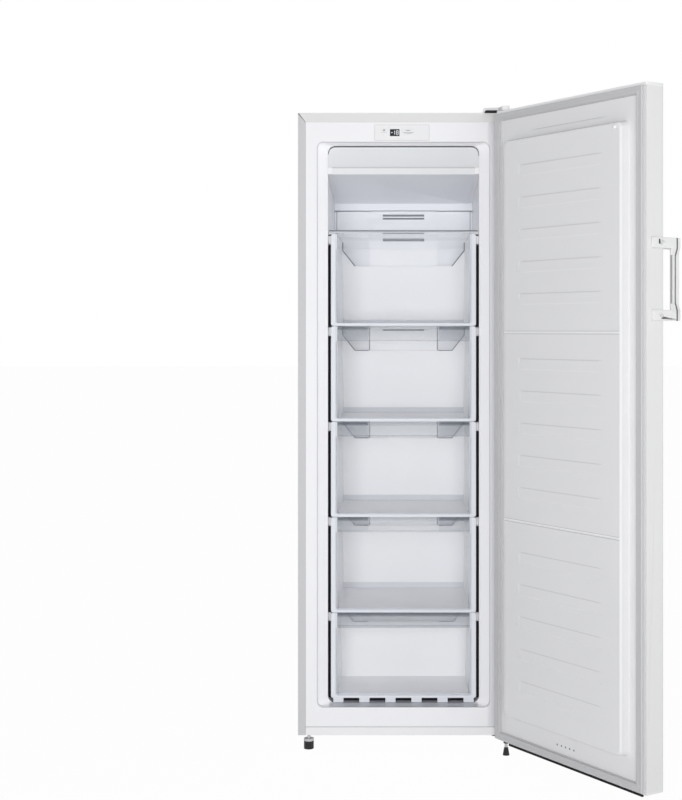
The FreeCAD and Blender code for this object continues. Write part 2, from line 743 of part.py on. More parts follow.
def fan_motor():
    frame, hub, motor, end = fan_planes()
    body = cylinder(MOTOR_R, fan_axis(motor), fan_axis(end))
    shaft = cylinder(SHAFT_R, fan_axis(hub + FAN_GAP), fan_axis(motor))
    return fuse([body, shaft])


def fan_blade():
    frame, hub, motor, end = fan_planes()
    middle = fan_axis(hub + HUB_L / 2)
    pieces = [cylinder(HUB_R, fan_axis(hub), fan_axis(hub + HUB_L))]
    for i in range(FAN_BLADES):
        root, t = HUB_R - BLADE_ROOT, BLADE_T / 2
        blade = box(root, FAN_R, -t, t, -BLADE_CHORD, BLADE_CHORD)
        blade.rotate(V(0, 0, 0), V(1, 0, 0), 90 - BLADE_PITCH)
        blade = blade.common(
            cylinder(FAN_R, V(0, -HUB_L / 2, 0), V(0, HUB_L / 2, 0))
        )
        blade.rotate(V(0, 0, 0), V(0, 1, 0), 360 / FAN_BLADES * i)
        blade.translate(middle)
        pieces.append(blade)
    return fuse(pieces).cut(cylinder(SHAFT_R + SHAFT_PLAY, fan_axis(hub), fan_axis(hub + HUB_L)))


def ceiling_duct():
    """Hollow cover under the ceiling: fascia, lip and an underside that falls to the back."""
    top = CAV_TOP - DUCT_TOP_GAP
    edge = top - FASCIA_H
    low = edge - LIP_H
    front, rear, t = STACK_FRONT, COVER_FRONT - COLUMN_D, DUCT_T
    rear_low = DUCT_REAR_Z - DUCT_REAR_H
    back = COVER_FRONT + COVER_T
    outer = [
        (front, top),
        (front, edge),
        (front - LIP_D, edge),
        (front - LIP_D, low),
        (front + t, low),
        (rear, DUCT_REAR_Z),
        (rear, rear_low),
        (back, rear_low),
        (back, top),
    ]
    inner = [
        (front + t, top),
        (front + t, low + t),
        (rear + t, DUCT_REAR_Z + t),
        (rear + t, rear_low + t),
        (back, rear_low + t),
        (back, top),
    ]
    half, narrow = CAV_HALF - COVER_PLAY, CAV_HALF - DUCT_SIDE_GAP
    duct = prism_x(outer, -narrow, narrow).cut(prism_x(inner, t - narrow, narrow - t))
    plates = [box(-half, half, front, front + t, edge, top)]
    for x0, x1 in ((-half, t - narrow), (narrow - t, half)):
        plates.append(box(x0, x1, rear, rear + t, rear_low, top))
    room = cavity(-COVER_PLAY)
    room.translate(V(0, 0, COVER_PLAY - DUCT_TOP_GAP))
    return fuse([duct] + plates).common(room)


def glass_shelf():
    half = CAV_HALF - RUNNER_SIDE_PLAY
    back = COVER_FRONT - COLUMN_D - RUNNER_PLAY
    return box(-half, half, STACK_FRONT + TRIM_D / 2, back, STACK_TOP - GLASS_T, STACK_TOP)


def shelf_trim():
    half = CAV_HALF - RUNNER_SIDE_PLAY
    top = STACK_TOP + (TRIM_H - GLASS_T) / 2
    bar = box(-half, half, STACK_FRONT, STACK_FRONT + TRIM_D, top - TRIM_H, top)
    bar = round_edges(
        bar, TRIM_D / 4, lambda middle, way: along(way, V(1, 0, 0)) and middle.y < STACK_FRONT + 1
    )
    return bar.cut(glass_shelf())


def drawer_top(index):
    """Top of a drawer, counted from 0 at the top of the stack."""
    if index == 0:
        return STACK_TOP - GLASS_T - LEDGE_H - DRAWER_GAP
    return STACK_TOP - DRAWER_PITCH * index


def drawer_bottom(index):
    if index == DRAWER_COUNT - 1:
        return LAST_DRAWER_BOTTOM
    return STACK_TOP - DRAWER_PITCH * (index + 1) + DRAWER_GAP


def drawer_length(index):
    """A drawer that reaches down beside the step over the compressor stops short of it."""
    return LAST_DRAWER_LEN if drawer_bottom(index) < HUMP_TOP else DRAWER_LEN


def drawer_runners():
    """Ledges on the side walls: one pair carries the shelf, the others the rims of the bins."""
    front = STACK_FRONT + FRONT_D + RUNNER_SIDE_PLAY
    levels = [(STACK_TOP - GLASS_T, LEDGE_H, DRAWER_LEN)]
    for index in range(DRAWER_COUNT):
        levels.append((drawer_top(index) - RIM_T - RUNNER_PLAY, RUNNER_H, drawer_length(index)))
    runners = []
    for z, height, length in levels:
        back = STACK_FRONT + length
        for sign in (-1, 1):
            x0, x1 = sorted((sign * RUNNER_IN, sign * CAV_HALF))
            runners.append(box(x0, x1, front, back, z - height, z))
    return group(runners)


def drawer_bin(index):
    """Clear bin: floor, side walls with hanging rims, and a back wall with a notch for the cold air."""
    top, bottom, t = drawer_top(index), drawer_bottom(index), DRAWER_T
    front, back = STACK_FRONT + FRONT_D, STACK_FRONT + drawer_length(index)
    wide, narrow = BIN_HALF, BIN_HALF - BIN_DRAFT
    outer = prism_y([(-narrow, bottom), (narrow, bottom), (wide, top), (-wide, top)], front, back)
    inner = prism_y(
        [(t - narrow, bottom + t), (narrow - t, bottom + t), (wide - t, top), (t - wide, top)],
        front,
        back - t,
    )
    rims = []
    for sign in (-1, 1):
        x0, x1 = sorted((sign * (BIN_HALF - t / 2), sign * DRAWER_HALF))
        rims.append(box(x0, x1, front, back, top - RIM_T, top))
    edge = wide - BACK_POST
    post = wide - 2 * t
    notch = prism_y(
        [
            (-edge, top - BACK_NOTCH),
            (edge, top - BACK_NOTCH),
            (post, top - BACK_NOTCH_TOP),
            (post, top),
            (-post, top),
            (-post, top - BACK_NOTCH_TOP),
        ],
        back - t,
        back,
    )
    return fuse([outer.cut([inner, notch])] + rims)


def drawer_front(index):
    """Tray-like front with a wide rim: the fingers go through its window and up behind the top band."""
    top, bottom, t = drawer_top(index), drawer_bottom(index), DRAWER_T
    front, back = STACK_FRONT, STACK_FRONT + FRONT_D
    body = box(-DRAWER_HALF, DRAWER_HALF, front, back, bottom, top)
    body = round_edges(
        body, FRONT_CORNER, lambda middle, way: along(way, V(0, 1, 0))
    )
    hollow = box(t - DRAWER_HALF, DRAWER_HALF - t, front + t, back - t, bottom + t, top - t)
    half = DRAWER_HALF - FRONT_SIDE
    window = box(-half, half, front, front + t, bottom + FRONT_FOOT, top - FRONT_BAND)
    window = round_edges(window, FRONT_CORNER, lambda middle, way: along(way, V(0, 1, 0)))
    body = body.cut([hollow, window])
    if index < DRAWER_COUNT - 1:
        return body
    nubs = []
    for i in range(NUB_COUNT):
        x = (i / (NUB_COUNT - 1) * 2 - 1) * (DRAWER_HALF - FRONT_CORNER - NUB_W / 2)
        nubs.append(box(x - NUB_W / 2, x + NUB_W / 2, front, back, bottom - NUB_H, bottom))
    return fuse([body] + nubs)


# ------------------------------------------------------------------ control panel
def button_block(name, grow, y0, y1):
    x, width, height = BUTTONS[name]
    w, h = width / 2 + grow, height / 2 + grow
    z = PANEL_Z + WINDOW_H / 2 - height / 2
    block = box(x - w, x + w, y0, y1, z - h, z + h)
    return round_edges(block, BUTTON_R + grow, lambda middle, way: along(way, V(0, 1, 0)))


def window_block(grow, y0, y1):
    x0, x1 = WINDOW_X - WINDOW_W / 2 - grow, WINDOW_X + WINDOW_W / 2 + grow
    z0, z1 = PANEL_Z - WINDOW_H / 2 - grow, PANEL_Z + WINDOW_H / 2 + grow
    return box(x0, x1, y0, y1, z0, z1)


def control_bezel():
    """Face plate with a box behind it that holds the board."""
    front = FRONT - PANEL_PROUD
    half, height = PANEL_W / 2, PANEL_H / 2
    plate = box(PANEL_X - half, PANEL_X + half, front, FRONT, PANEL_Z - height, PANEL_Z + height)
    plate = round_edges(plate, PANEL_RIM, lambda middle, way: along(way, V(0, 1, 0)))
    shell = control_pocket(0)
    room = control_pocket(-PANEL_WALL)
    holes = [button_block(name, BUTTON_PLAY, front, FRONT + PANEL_WALL) for name in BUTTONS]
    holes.append(window_block(0, front, FRONT + PANEL_WALL))
    body = fuse([plate, shell.cut(box(-HALF, HALF, front, FRONT, PAN_Z, CAB_TOP))])
    behind = room.common(box(-HALF, HALF, FRONT + PANEL_WALL, BACK, PAN_Z, CAB_TOP))
    return body.cut([behind] + holes)


def display_window():
    return window_block(0, FRONT - PANEL_PROUD, FRONT - PANEL_PROUD + PANEL_WALL)


def control_button(name):
    """Cap with a collar behind the plate, which stops it from falling out."""
    front = FRONT - PANEL_PROUD - BUTTON_PROUD
    cap = button_block(name, 0, front, FRONT + PANEL_WALL + BUTTON_PLAY)
    behind = FRONT + PANEL_WALL + BUTTON_PLAY
    collar = button_block(name, COLLAR_W, behind, behind + COLLAR_T)
    return fuse([cap, collar])


def control_board():
    """Circuit board with a switch behind each button and the digit block behind the window."""
    y = FRONT + BOARD_SETBACK
    room = control_pocket(-PANEL_WALL - PANEL_FIT)
    board = room.common(box(-HALF, HALF, y, y + BOARD_T, PAN_Z, CAB_TOP))
    pieces = [board, window_block(-DIGITS_INSET, FRONT + PANEL_WALL, y)]
    reach = FRONT + PANEL_WALL + BUTTON_PLAY + COLLAR_T + BUTTON_TRAVEL + BUTTON_PLAY
    w = SWITCH_HALF
    for name in BUTTONS:
        x, width, height = BUTTONS[name]
        z = PANEL_Z + WINDOW_H / 2 - height / 2
        pieces.append(box(x - w, x + w, reach, y, z - w, z + w))
    return fuse(pieces)


# ------------------------------------------------------------------ cooling circuit
def compressor_place(z):
    return V(COMP_X, (NICHE_FRONT + BACK) / 2, z)


def mount_places():
    middle = compressor_place(UNDERSIDE + PLATE_T)
    return [
        middle + V(sx * FOOT_SPAN_X, sy * FOOT_SPAN_Y, 0) for sx in (-1, 1) for sy in (-1, 1)
    ]


def compressor():
    shell = cylinder(COMP_R, compressor_place(COMP_BOTTOM), compressor_place(COMP_BOTTOM + COMP_H))
    shell = shell.makeFillet(COMP_DOME, [e for e in shell.Edges if e.Closed])
    at = compressor_place(COMP_BOTTOM)
    x, y = FOOT_SPAN_X + MOUNT_R, FOOT_SPAN_Y + MOUNT_R
    feet = box(at.x - x, at.x + x, at.y - y, at.y + y, COMP_BOTTOM, COMP_BOTTOM + FOOT_PLATE_T)
    edge, w = at.x + COMP_R, TERMINAL_HALF
    low, high = COMP_BOTTOM + TERMINAL_LOW, COMP_BOTTOM + TERMINAL_HIGH
    terminal = box(edge - TERMINAL_IN, edge + TERMINAL_OUT, at.y - w, at.y + w, low, high)
    stubs = []
    for angle, radius, height in STUBS:
        way = V(math.cos(math.radians(angle)), math.sin(math.radians(angle)), 0)
        start = compressor_place(COMP_BOTTOM + height)
        stubs.append(cylinder(radius, start, start + way * (COMP_R + STUB_L)))
    return fuse([shell, feet, terminal] + stubs)


def compressor_mounts():
    mounts = []
    for at in mount_places():
        mounts.append(cylinder(MOUNT_R, at, V(at.x, at.y, COMP_BOTTOM)))
    return group(mounts)


def condenser_side(sign):
    x = sign * (INSIDE - PANEL_FIT - CONDENSER_R)
    half = (CONDENSER_TOP - CONDENSER_BOTTOM) / 2
    y = CONDENSER_BEND * (CONDENSER_PASSES - 1)
    start = V(x, y, (CONDENSER_TOP + CONDENSER_BOTTOM) / 2)
    return start, half


def condenser_tube():
    """Warm tube in grooves on the foam's sides, which gives its heat off through the side panels."""
    solids = []
    for sign in (-1, 1):
        start, half = condenser_side(sign)
        solids.append(
            serpentine(CONDENSER_R, CONDENSER_PASSES, CONDENSER_BEND, half, UP, V(0, 1, 0), start)
        )
    return group(solids)


def condenser_grooves(sign):
    """Straight-sided channels for that tube, open towards the side panel."""
    start, half = condenser_side(sign)
    w = CONDENSER_R + CONDENSER_PLAY
    inner = sign * (abs(start.x) - w)
    outer = sign * HALF
    x0, x1 = sorted((inner, outer))
    grooves = []
    for i in range(CONDENSER_PASSES):
        y = start.y - 2 * CONDENSER_BEND * i
        grooves.append(box(x0, x1, y - w, y + w, start.z - half, start.z + half))
        if i + 1 < CONDENSER_PASSES:
            z = start.z + half * (1 if i % 2 == 0 else -1)
            centre = V(x0, y - CONDENSER_BEND, z)
            ring = cylinder(CONDENSER_BEND + w, centre, centre + V(x1 - x0, 0, 0))
            ring = ring.cut(cylinder(CONDENSER_BEND - w, centre, centre + V(x1 - x0, 0, 0)))
            low, high = (z, z + CAB_D) if i % 2 == 0 else (z - CAB_D, z)
            grooves.append(ring.common(box(-CAB_W, CAB_W, -CAB_D, CAB_D, low, high)))
    return grooves


def filter_drier():
    """Copper filter, clipped to the wall of the compressor compartment."""
    wall = NICHE_FRONT + SHEET
    x, y, middle = DRIER_X, wall + CLIP_T + DRIER_R, (NICHE_TOP + PAN_Z) / 2
    low, high = V(x, y, middle - DRIER_L / 2), V(x, y, middle + DRIER_L / 2)
    neck = UP * DRIER_NECK_L
    pieces = [cylinder(DRIER_R, low, high), cylinder(DRIER_NECK_R, low - neck, high + neck)]
    w, h = CLIP_W / 2, CLIP_H / 2
    pieces.append(box(x - w, x + w, wall, y, middle - h, middle + h))
    return fuse(pieces)


def drip_tray():
    """Open tray on top of the compressor, whose warmth dries the melt water."""
    at = compressor_place(COMP_BOTTOM + COMP_H)
    x0, x1 = at.x - TRAY_SHIFT - TRAY_W / 2, at.x - TRAY_SHIFT + TRAY_W / 2
    drain = DRAIN_Y + DRAIN_R
    y0, y1 = NICHE_FRONT + TRAY_FRONT, drain + (BACK - BACK_COVER_T - drain) * TRAY_REACH
    outer = box(x0, x1, y0, y1, at.z, at.z + TRAY_H)
    outer = round_edges(outer, TRAY_R, lambda middle, way: along(way, UP))
    t = TRAY_T
    return outer.cut(box(x0 + t, x1 - t, y0 + t, y1 - t, at.z + t, at.z + TRAY_H))


def drain_place(z):
    return V(0, DRAIN_Y, z)


def drain_hole():
    low, high = drain_place(COMP_BOTTOM + COMP_H), drain_place(HUMP_TOP + LINER_T)
    return cylinder(DRAIN_R + PANEL_FIT, low, high)


def drain_tube():
    """Tube that leads the melt water from the evaporator's gutter to the drip tray."""
    end = COMP_BOTTOM + COMP_H + TRAY_H / 2
    tube = cylinder(DRAIN_R, drain_place(end), drain_place(HUMP_TOP))
    funnel = cylinder(DRAIN_FUNNEL, drain_place(HUMP_TOP), drain_place(HUMP_TOP + TRAY_T))
    bore = cylinder(DRAIN_BORE, drain_place(end), drain_place(HUMP_TOP + TRAY_T))
    return fuse([tube, funnel]).cut(bore)


def inlet_place():
    return V(INLET_X, BACK, NICHE_TOP - INLET_DROP)


def compressor_cover():
    """Rear cover of the compressor compartment, with upright slots for the air."""
    half = INSIDE - PANEL_FIT
    t = BACK_COVER_T
    plate = box(-half, half, BACK - t, BACK, PAN_Z, NICHE_TOP - PANEL_FIT)
    middle = (PAN_Z + NICHE_TOP) / 2
    slots = []
    for i in range(VENT_COUNT):
        x = (i - (VENT_COUNT - 1) / 2) * VENT_PITCH
        w, h = VENT_W / 2, VENT_H / 2
        slots.append(box(x - w, x + w, BACK - t, BACK, middle - h, middle + h))
    at = inlet_place()
    slots.append(cylinder(INLET_R, at - V(0, t, 0), at))
    return plate.cut(slots)


def cord_inlet():
    """Grommet through which the mains lead enters."""
    at, t = inlet_place(), BACK_COVER_T
    out = V(0, 1, 0)
    body = cylinder(INLET_R, at - out * INLET_L / 2, at + out * INLET_L / 2)
    collar = cylinder(INLET_R + INLET_COLLAR, at, at + out * INLET_COLLAR)
    bore = cylinder(INLET_BORE, at - out * INLET_L, at + out * INLET_L)
    return fuse([body, collar]).cut(bore)


# ------------------------------------------------------------------ hinges and feet
def top_screw_places():
    x, y = HALF - TOP_HINGE_EDGE - TOP_HINGE_W / 2, FRONT + TOP_HINGE_D / 2
    return [V(x + dx, y + dy, CAB_TOP) for dx, dy in TOP_SCREWS]


def top_screw_shanks():
    return [
        cylinder(SCREW_R, at - UP * (SCREW_L - HINGE_T), at + UP * HINGE_T) for at in top_screw_places()
    ]


def bottom_screw_places():
    y = FRONT + BOTTOM_HINGE_D - BOTTOM_SCREW_FIRST
    return [V(RAIL_X, y - BOTTOM_SCREW_PITCH * i, UNDERSIDE - HINGE_T) for i in range(2)]


def bottom_screw_shanks():
    length = UP * (HINGE_T + RAIL_T + BOTTOM_SCREW_END)
    return [cylinder(SCREW_R, at, at + length) for at in bottom_screw_places()]


def hinge_screws():
    screws = []
    for at, shank in zip(top_screw_places(), top_screw_shanks()):
        head = at + UP * HINGE_T
        screws.append(fuse([shank, cylinder(SCREW_HEAD_R, head, head + UP * SCREW_HEAD_H)]))
    for at, shank in zip(bottom_screw_places(), bottom_screw_shanks()):
        screws.append(fuse([shank, cylinder(SCREW_HEAD_R, at - UP * SCREW_HEAD_H, at)]))
    return group(screws)


def hinge_plate(x0, x1, y1, z):
    """Plate that narrows to an arm under or over the door's edge."""
    y0, neck, slant = PIN_Y - HINGE_REACH, PIN_X - HINGE_REACH, HINGE_SLANT
    shoulder = [(x0, FRONT + slant), (neck, FRONT - slant), (neck, y0)]
    return prism_z(shoulder + [(x1, y0), (x1, y1), (x0, y1)], z, z + HINGE_T)


def top_hinge():
    """Plate screwed to the top panel, with the pin that enters the door from above."""
    x1 = HALF - TOP_HINGE_EDGE
    plate = hinge_plate(x1 - TOP_HINGE_W, x1, FRONT + TOP_HINGE_D, CAB_TOP)
    pin = cylinder(PIN_R, V(PIN_X, PIN_Y, DOOR_TOP - PIN_L), V(PIN_X, PIN_Y, CAB_TOP + HINGE_T))
    return cut(fuse([plate, pin]), top_screw_shanks())


def top_hinge_cover():
    """Cap over the top hinge."""
    top, t = CAB_TOP + HINGE_COVER_H, HINGE_COVER_T
    near, far, across = COVER_SHOULDER

    def outline(gap):
        x0, x1 = HALF - TOP_HINGE_EDGE - TOP_HINGE_W - gap, HALF - TOP_HINGE_EDGE + gap
        y0, y1, neck = PIN_Y - HINGE_REACH - gap, FRONT + TOP_HINGE_D + gap, PIN_X - HINGE_REACH - gap
        shoulder = [(x0, FRONT - near - gap), (neck - across, FRONT - far - gap), (neck, y0)]
        return shoulder + [(x1, y0), (x1, y1), (x0, y1)]

    outer = prism_z(outline(PANEL_FIT + t), CAB_TOP, top)
    outer = round_edges(outer, HINGE_COVER_R, lambda middle, way: middle.z > top - 0.1)
    return outer.cut(prism_z(outline(PANEL_FIT), CAB_TOP, top - t))


def bottom_hinge():
    """Plate under the right-hand rail with the lower pin, and the nut for the right foot."""
    x0, x1 = RAIL_X - BOTTOM_HINGE_IN, HALF - BOTTOM_HINGE_EDGE
    z0, z1 = UNDERSIDE - HINGE_T, UNDERSIDE
    plate = hinge_plate(x0, x1, FRONT + BOTTOM_HINGE_D, z0)
    pin = cylinder(PIN_R, V(PIN_X, PIN_Y, z1), V(PIN_X, PIN_Y, DOOR_BOTTOM + PIN_L))
    nut = cylinder(NUT_R, V(PIN_X, PIN_Y, z0 - NUT_H), V(PIN_X, PIN_Y, z0))
    bore = cylinder(STUD_R + STUD_PLAY, V(PIN_X, PIN_Y, z0 - NUT_H), V(PIN_X, PIN_Y, z0))
    return cut(fuse([plate, pin, nut]), [bore] + bottom_screw_shanks())


def left_foot_place():
    return V(-RAIL_X, FRONT + LEFT_FOOT_SETBACK, 0)


def front_foot_left():
    at = left_foot_place()
    pad = cylinder(LEFT_FOOT_R, at, at + UP * LEFT_FOOT_H)
    stud = cylinder(STUD_R, at, at + UP * (UNDERSIDE + NUT_H))
    return fuse([pad, stud])


def front_foot_right():
    at = V(PIN_X, PIN_Y, 0)
    pad = Part.makeCone(RIGHT_FOOT_R, RIGHT_FOOT_TOP_R, RIGHT_FOOT_H, at, UP)
    stud = cylinder(STUD_R, at, at + UP * (UNDERSIDE - HINGE_T - PANEL_FIT))
    return fuse([pad, stud])


def rear_feet():
    feet = []
    for side in (-1, 1):
        at = V(side * RAIL_X, BACK - REAR_FOOT_INSET, 0)
        feet.append(cylinder(REAR_FOOT_R, at, at + UP * UNDERSIDE))
    return group(feet)


# ------------------------------------------------------------------ door, drawn shut
def door_plan(inset, y_in, z0, z1):
    """Block with the door's outline, its two front edges rounded."""
    half = HALF - inset
    block = box(-half, half, DOOR_OUT + inset, y_in, z0, z1)
    return round_edges(
        block,
        DOOR_EDGE_R - inset,
        lambda middle, way: along(way, UP) and middle.y < DOOR_OUT + inset + 1,
    )


def door_skin():
    outer = door_plan(0, DOOR_IN, SKIN_BOTTOM, SKIN_TOP)
    inner = door_plan(SHEET, DOOR_IN - SHEET, SKIN_BOTTOM, SKIN_TOP)
    half = HALF - DOOR_LIP
    opening = box(-half, half, DOOR_IN - SHEET, DOOR_IN, SKIN_BOTTOM, SKIN_TOP)
    return outer.cut([inner, opening] + handle_screw_shanks())


def pin_bore(radius, z0, z1):
    return cylinder(radius, V(PIN_X, PIN_Y, z0), V(PIN_X, PIN_Y, z1))


def door_top_cap():
    return door_plan(0, DOOR_IN, SKIN_TOP, DOOR_TOP).cut(pin_bore(BUSH_R, SKIN_TOP, DOOR_TOP))


def door_bottom_cap():
    return door_plan(0, DOOR_IN, DOOR_BOTTOM, SKIN_BOTTOM).cut(
        pin_bore(BUSH_R, DOOR_BOTTOM, SKIN_BOTTOM)
    )


def door_plug(inset):
    """Raised middle of the door's inner wall, smaller all round by the inset."""
    wires = []
    steps = (
        (0, 0),
        (PLUG_DRAFT, PLUG_D - PLUG_EDGE),
        (PLUG_DRAFT + PLUG_EDGE / 3, PLUG_D - PLUG_EDGE / 3),
        (PLUG_DRAFT + PLUG_EDGE, PLUG_D),
    )
    for narrower, height in steps:
        d = narrower + inset
        y = DOOR_IN + height - (inset if height > 0 else LINER_T)
        wires.append(
            rounded_rectangle(PLUG_HALF - d, PLUG_BOTTOM + d, PLUG_TOP - d, PLUG_R, y)
        )
    return loft(wires)


def rib_pockets(grow):
    """Shallow pockets in the plug's face, in groups, and the grooves between the groups."""
    back = PLUG_FACE - RIB_D - grow
    tools = []
    for g in range(RIB_GROUPS):
        for i in range(RIBS):
            z = RIB_FIRST - RIB_GROUP_PITCH * g - RIB_PITCH * i
            h, w = RIB_H / 2 + grow, RIB_HALF + grow
            tools.append(box(-w, w, back, PLUG_FACE, z - h, z + h))
    for z in GROOVES:
        w = PLUG_HALF - PLUG_DRAFT - PLUG_EDGE + grow
        h = GROOVE_H / 2 + grow
        tools.append(box(-w, w, back, PLUG_FACE, z - h, z + h))
    return tools


def door_liner():
    half = HALF - DOOR_LIP - PANEL_FIT
    rim = box(-half, half, DOOR_IN - LINER_T, DOOR_IN, SKIN_BOTTOM, SKIN_TOP)
    outer = fuse([rim, door_plug(0)]).cut(rib_pockets(0))
    return outer.cut(door_plug(LINER_T).cut(rib_pockets(LINER_T)))


def door_foam():
    """Foam between the skin and the inner wall; it also fills the plug."""
    block = door_plan(SHEET, DOOR_IN - LINER_T, SKIN_BOTTOM, SKIN_TOP)
    plug = door_plug(LINER_T).cut(rib_pockets(LINER_T))
    bores = [
        pin_bore(BUSH_R, DOOR_BOTTOM, DOOR_BOTTOM + PIN_L + BUSH_END + BUSH_ROOM),
        pin_bore(BUSH_R, DOOR_TOP - PIN_L - BUSH_END - BUSH_ROOM, DOOR_TOP),
    ]
    return fuse([block, plug]).cut(bores + handle_screw_shanks())


def seal_ring(inset, y0, y1):
    """Rectangular ring of the seal; the inset narrows its section on both sides."""
    out = SEAL_INSET + inset
    inn = SEAL_INSET + SEAL_W - inset
    outer = box(out - HALF, HALF - out, y0, y1, DOOR_BOTTOM + out, DOOR_TOP - out)
    return outer.cut(box(inn - HALF, HALF - inn, y0, y1, DOOR_BOTTOM + inn, DOOR_TOP - inn))


def door_gasket():
    """Seal: a wide foot, a narrower bellows and the magnet strip in front."""
    height = DOOR_GAP - SEAL_CLEAR
    rings, y = [], DOOR_IN
    for inset, share in SEAL_STEPS:
        end = DOOR_IN + height * share
        rings.append(seal_ring(inset, y, end))
        y = end
    return fuse(rings)


def door_bushings():
    """Flanged sleeves in the two end caps; the lower one carries the door on the hinge plate."""
    pieces = []
    for face, way in ((DOOR_TOP, -1), (DOOR_BOTTOM, 1)):
        end = face + way * (PIN_L + BUSH_END)
        flange = face - way * BUSH_FLANGE_T
        sleeve = fuse(
            [
                pin_bore(BUSH_R, *sorted((face, end))),
                pin_bore(BUSH_FLANGE_R, *sorted((flange, face))),
            ]
        )
        pieces.append(sleeve.cut(pin_bore(PIN_R + PIN_PLAY, *sorted((flange, end)))))
    return group(pieces)


# ------------------------------------------------------------------ handle, on the shut door's free edge
def handle_outline():
    """The bar from the front: square along the door's edge, curved away at the top and the tail."""
    x0, x1 = -HALF, -HALF + HANDLE_W
    top, low = HANDLE_TOP, HANDLE_BOTTOM
    r, tail, s = HANDLE_TOP_R, HANDLE_TAIL_R, math.sqrt(0.5)
    reach = HANDLE_W
    points = [
        Part.makeLine(V(x0, 0, low), V(x0, 0, top)),
        Part.makeLine(V(x0, 0, top), V(x1 - r, 0, top)),
        Part.Arc(V(x1 - r, 0, top), V(x1 - r + r * s, 0, top - r + r * s), V(x1, 0, top - r)).toShape(),
        Part.makeLine(V(x1, 0, top - r), V(x1, 0, low + tail)),
        Part.Arc(
            V(x1, 0, low + tail),
            V(x0 + reach * s, 0, low + tail * (1 - s)),
            V(x0, 0, low),
        ).toShape(),
    ]
    return Part.Face(Part.Wire(points))


def handle_slab(y0, y1):
    face = handle_outline()
    face.translate(V(0, y0, 0))
    return face.extrude(V(0, y1 - y0, 0))


def handle_bar():
    """Hollow bar of two shells with a seam between them."""
    split = HANDLE_IN - HANDLE_SPLIT
    inner = handle_slab(split, HANDLE_IN)
    outer = handle_slab(HANDLE_OUT, split - HANDLE_SEAM)
    outer = round_edges(
        outer, HANDLE_EDGE, lambda middle, way: middle.y < HANDLE_OUT + 0.1
    )
    d = HANDLE_CORE
    low, high = HANDLE_BOTTOM + HANDLE_TAIL_R, HANDLE_TOP - d
    core = box(d - HALF, HANDLE_W - HALF - d, split - HANDLE_SEAM, split, low, high)
    far = HANDLE_W - HALF
    slant = prism_z(
        [
            (-HALF, HANDLE_IN - GRIP_START),
            (far, HANDLE_OUT + GRIP_EDGE),
            (far + HANDLE_EDGE, HANDLE_OUT + GRIP_EDGE),
            (far + HANDLE_EDGE, HANDLE_IN),
            (-HALF, HANDLE_IN),
        ],
        HANDLE_BOTTOM + MOUNT_H,
        HANDLE_TOP - MOUNT_H,
    )
    return fuse([inner, core, outer]).cut(slant)


def handle_mounts():
    """Two brackets that wrap round the door's edge and hold the bar."""
    mounts = []
    x0, x1 = -HALF - MOUNT_WRAP, -HALF + HANDLE_W - MOUNT_CLEAR
    for low, slope in ((HANDLE_TOP - MOUNT_H, -1), (HANDLE_BOTTOM, 1)):
        high = low + MOUNT_H
        pad = box(x0, -HALF, DOOR_OUT, DOOR_OUT + MOUNT_PAD, low, high)
        post = box(x0, x1 if slope < 0 else MOUNT_POST - HALF, HANDLE_IN, DOOR_OUT, low, high)
        mid, far = (low, low - MOUNT_SLOPE) if slope < 0 else (high, high + MOUNT_SLOPE)
        cheek = prism_y(
            [(x0, mid), (-HALF, far), (-HALF, (low + high) / 2), (x0, (low + high) / 2)],
            HANDLE_OUT + HANDLE_EDGE,
            HANDLE_IN,
        )
        side = box(x0, -HALF, HANDLE_OUT + HANDLE_EDGE, HANDLE_IN, low, high)
        mounts.append(fuse([pad, post, side, cheek]).cut(handle_screw_shanks()))
    return group(mounts)


def handle_screw_places():
    y = DOOR_OUT + HANDLE_SCREW_IN
    return [
        V(-HALF - MOUNT_WRAP, y, z)
        for z in (HANDLE_TOP - MOUNT_H / 2, HANDLE_BOTTOM + MOUNT_H / 2)
    ]


def handle_screw_shanks():
    inward = V(1, 0, 0)
    return [
        cylinder(SCREW_R, at, at + inward * (MOUNT_WRAP + SCREW_L)) for at in handle_screw_places()
    ]


def handle_screws():
    screws = []
    for at, shank in zip(handle_screw_places(), handle_screw_shanks()):
        out = V(-1, 0, 0)
        screws.append(fuse([shank, cylinder(SCREW_HEAD_R, at, at + out * SCREW_HEAD_H / 2)]))
    return group(screws)


